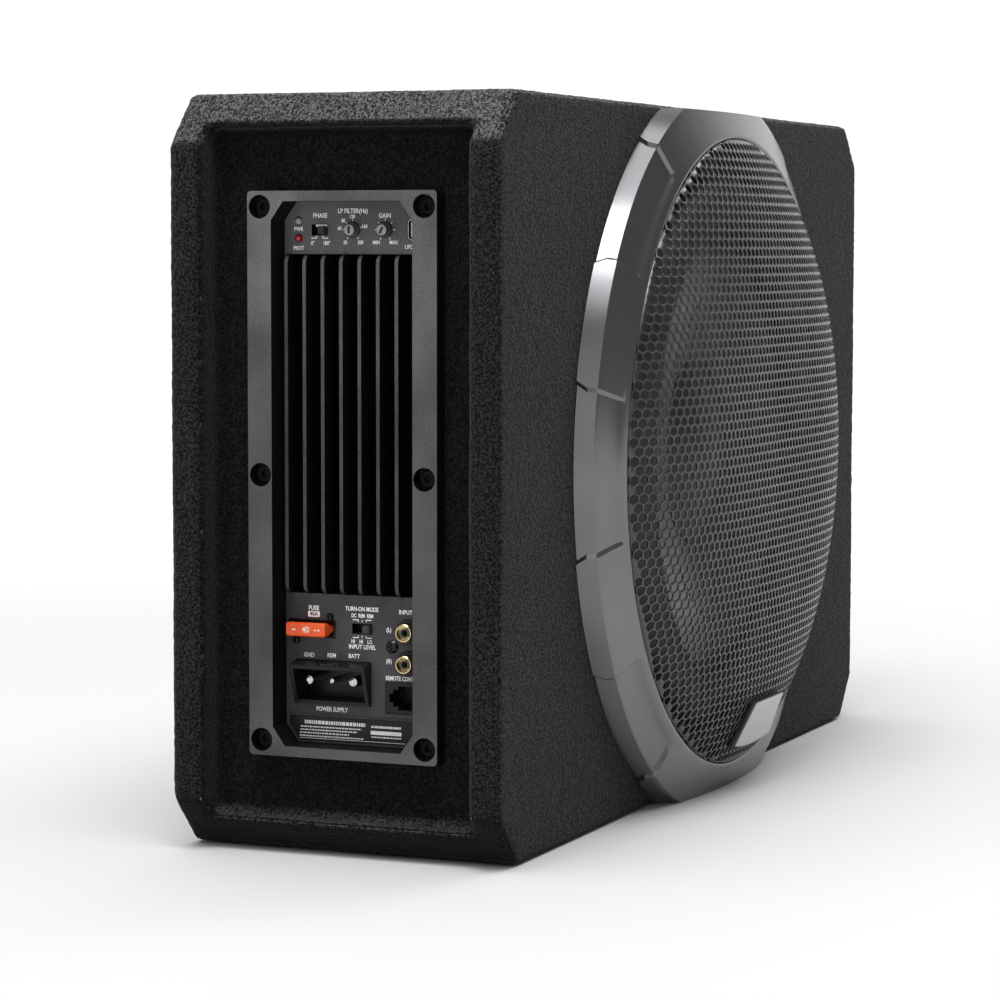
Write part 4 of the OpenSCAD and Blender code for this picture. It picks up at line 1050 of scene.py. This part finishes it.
def print_top_legends():
    """Words and marks at the lamps, the phase switch, the knobs and the port."""
    ink = Print(INK_Z)
    ink.words("PWR", LED_X, 109.1, 1.7)
    ink.words("PROT", LED_X, 100.7, 1.7)
    ink.words("PHASE", PHASE_X + 0.2, 115.1, 2.0)
    ink.words("0°", PHASE_X - 3.4, 102.9, 1.7)
    ink.words("180°", PHASE_X + 3.4, 102.9, 1.7, 0.8)
    for near, far in ((-1.55, -4.2), (1.55, 4.2)):  # brackets from the switch to its marks
        ink.bar(PHASE_X + near - 0.22, 105.1, PHASE_X + near + 0.22, 106.2)
        ink.bar(PHASE_X + near, 104.95, PHASE_X + far, 105.35)
    ink.words("LP FILTER(Hz)", FILTER_X + 0.1, 117.1, 2.0)
    for words, clock, x, y in (("50", -145, -3.6, -5.6), ("60", -90, -6.4, 0.7), ("80", -45, -4.6, 4.0),
                               ("120", 0, -0.2, 5.8), ("160", 75, 5.8, 1.5), ("200", 145, 3.8, -5.6)):
        ink.tick(FILTER_X, KNOB_Y, 3.9, 4.8, clock, 0.35)
        ink.words(words, FILTER_X + x, KNOB_Y + y, 1.6, 0.8)
    ink.words("GAIN", GAIN_X - 0.1, 115.0, 2.0)
    ink.words("MIN", GAIN_X - 4.3, 103.2, 1.6)
    ink.words("MAX", GAIN_X + 4.1, 103.2, 1.6)
    for clock in (-150, -90, -45, 0, 45, 90, 150):
        ink.tick(GAIN_X, KNOB_Y, 3.9, 4.9, clock, 0.35)
    ink.words("UPD", SERVICE_X - 0.8, 101.2, 1.8)
    ink.piece("legends_top", WHITE_INK, "label")


def print_bottom_legends():
    """Words and marks at the fuse, the mode switch and the sockets."""
    ink = Print(INK_Z)
    ink.words("FUSE", FUSE_X + 0.8, -60.3, 2.0)
    ink.words("TURN-ON MODE", MODE_X - 0.1, -59.9, 1.9, 0.77)
    ink.words("DC  REM  REM", MODE_X + 0.1, -62.9, 1.7, 0.70)
    for s in (1, -1):  # brackets over and under the mode switch
        y = MODE_Y + s * 3.1
        ink.bar(MODE_X - 0.2, y, MODE_X + 0.2, y + s * 0.8)
        for side in (-1, 1):
            x = MODE_X + side * 1.9
            ink.bar(x - 0.22, y, x + 0.22, y + s * 1.0)
            ink.bar(x, y + s * 0.7, x + side * 2.7, y + s * 1.1)
    ink.words("HI", MODE_X - 4.5, -74.5, 1.7, 0.74)
    ink.words("HI", MODE_X - 0.5, -74.5, 1.7, 0.74)
    ink.words("LO", MODE_X + 3.7, -74.5, 1.7, 0.74)
    ink.words("INPUT LEVEL", MODE_X, -76.9, 1.9)
    ink.words("INPUT", RCA_X - 1.2, -60.4, 1.9)
    ink.words("(L)", RCA_X - 9.4, -68.6, 1.8)
    ink.words("(R)", RCA_X - 9.4, -82.6, 1.8)
    ink.words("GND", INLET_X - 12.0, -81.6, 1.9)
    ink.words("REM", INLET_X - 0.8, -81.4, 1.9)
    ink.words("BATT", INLET_X + 10.3, -81.2, 1.9)
    ink.words("POWER SUPPLY", INLET_X - 0.7, -105.8, 2.0, 0.78)
    ink.words("REMOTE CONTROL", RCA_X - 2.3, -90.2, 1.9, 0.72)
    ink.piece("legends_bottom", WHITE_INK, "label")
    rating = Print(INK_Z)
    outline = []
    for k, (x, y) in enumerate(((2.4, 0.8), (-2.4, 0.8), (-2.4, -0.8), (2.4, -0.8))):
        outline += arc(FUSE_X + 0.8 + x, -63.0 + y, 0.5, 90 * k, 90 * k + 90, 4)
    rating.add(outline, [tuple(range(len(outline)))])
    rating.piece("fuse_rating_field", WHITE_INK, "label")
    number = Print(FIELD_INK_Z)
    number.words("40A", FUSE_X + 0.8, -63.0, 1.8, 0.95, 0.06)
    number.piece("fuse_rating", BLACK_PLASTIC, "black_plastic")


def print_rating_label():
    """Short dashes in rows stand for the small print."""
    marks = Print(LABEL_INK_Z)
    draw = random.Random(4)

    def row(x0, x1, y, tall):
        x = x0
        while x < x1:
            wide = draw.uniform(0.5, 1.6)
            marks.bar(x, y, min(x + wide, x1), y + tall)
            x += wide + 0.35

    marks.bar(-27.5, -119.3, 24.5, -119.1)
    row(-25, 5, -112.7, 1.6)
    for k, end in enumerate((3, 1, -3, 4)):
        row(-27 - 0.2 * k, end, -114.3 - 1.4 * k, 0.6)
    row(8, 22.5, -112.9, 1.0)
    marks.bar(7.7, -115.9, 22.8, -114.2)
    row(8, 22.5, -117.3, 0.6)
    marks.piece("rating_lines", LABEL_INK, "label")


def print_fuse_number():
    fuse_top = PANEL_Z + 7.2
    mark = Print(fuse_top + 0.02)
    mark.words("40", FUSE_X, FUSE_Y, 2.7, 0.95, 0.06)
    for x0, x1 in ((-6.6, -4.9), (4.4, 5.4), (6.0, 7.0)):
        mark.bar(FUSE_X + x0, FUSE_Y - 0.35, FUSE_X + x1, FUSE_Y + 0.35)
    mark.piece("fuse_number", FUSE_MARK, "orange_plastic", "fuse")


def mark_phase_lever():
    """A white stripe along the upper side of the phase switch's lever."""
    corners = box_corners((-1.5, 1.35, 0.1), (3.8, 2.4, 0.7))
    verts = [amp_point((PHASE_X + x) * MM, (KNOB_Y + y) * MM, (PANEL_Z + z) * MM) for x, y, z in corners]
    stripe = new_object("phase_lever_stripe", verts, BOX_FACES, WHITE_INK, smooth=False)
    outward(stripe)
    round_edges(stripe, 0.12, 2, 30)
    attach(stripe, "phase_lever")


print_top_legends()
print_bottom_legends()
print_rating_label()
print_fuse_number()
mark_phase_lever()


# ---- stage and light
FLOOR_REACH = 60  # metres each way


def make_floor():
    """A pale floor with painted shade round the object: greyer near it than further out."""
    t = Tree("floor_white").set(Specular_IOR_Level=0.2)
    slow = t.noise(900, 2)
    length = t.nodes.new("ShaderNodeVectorMath")
    length.operation = "LENGTH"
    t.links.new(t.coords, length.inputs[0])
    # Painted shade: the floor greys towards the object, from two metres in to half a metre.
    far = t.ramp(length.outputs["Value"], 0.5, 2.0)
    near_tone = t.mix(t.ramp(slow, 0.3, 0.7), grey(0.62), grey(0.64))
    t.color(t.mix(far, near_tone, grey(0.93)))
    t.rough(t.ramp(slow, 0.3, 0.7, 0.75, 0.85))
    corners = [(x * FLOOR_REACH, y * FLOOR_REACH, 0) for x, y in ((-1, -1), (1, -1), (1, 1), (-1, 1))]
    floor = new_object("floor", corners, [(0, 1, 2, 3)], t.material, smooth=False)


def add_lamp(name, kind, facing):
    """A new lamp that shines along the given direction."""
    lamp = add_object(name, bpy.data.lights.new(name, kind))
    lamp.rotation_euler = Vector(facing).to_track_quat("-Z", "Y").to_euler()
    return lamp


def box_light(name, place, target, side, power):
    """A square softbox."""
    lamp = add_lamp(name, "AREA", Vector(target) - Vector(place))
    lamp.location = place
    lamp.data.shape, lamp.data.size, lamp.data.energy = "SQUARE", side, power


def sun_light(name, direction, degrees, strength):
    """A wide even light from overhead, like a large softbox."""
    lamp = add_lamp(name, "SUN", -Vector(direction))
    lamp.data.angle, lamp.data.energy = math.radians(degrees), strength


def make_world():
    """White behind the object, a glow from the left and a dim fill in front, for metal to show."""
    world = bpy.data.worlds.new("studio")
    sky = Nodes(world)
    back = sky.nodes["Background"]
    back.inputs["Color"].default_value = (1, 1, 1, 1)
    coords = sky.nodes.new("ShaderNodeTexCoord").outputs["Generated"]

    def toward(direction, lo, hi, a, b):
        """A glow that goes from a to b as the view turns towards the direction."""
        dot = sky.nodes.new("ShaderNodeVectorMath")
        dot.operation = "DOT_PRODUCT"
        dot.inputs[1].default_value = Vector(direction).normalized()
        sky.links.new(coords, dot.inputs[0])
        return sky.ramp(dot.outputs["Value"], lo, hi, a, b)

    ahead = toward((0.92, 0.385, 0), 0.5, 0.85, 0.0, 1.0)
    fill = toward((-0.6, -0.7, 0.3), -0.6, 1.0, 0.04, 0.20)
    left = toward((-0.98, -0.15, 0.1), 0.75, 1.0, 0.0, 0.75)
    total = sky.math("ADD", sky.math("ADD", ahead, fill), left)
    sky.links.new(total, back.inputs["Strength"])
    bpy.context.scene.world = world


make_floor()
make_world()
sun_light("overhead", direction=(-0.12, 0.05, 0.99), degrees=75, strength=2.9)
box_light("left_box", place=(-0.6, -0.1, 1.5), target=(-0.2, -0.03, 0.22), side=0.6, power=9)
box_light("right_box", place=(1.0, -0.6, 1.7), target=(0, -0.05, 0.17), side=0.7, power=8)

scene = bpy.context.scene
scene.view_settings.view_transform = "Standard"
scene.view_settings.look = "None"
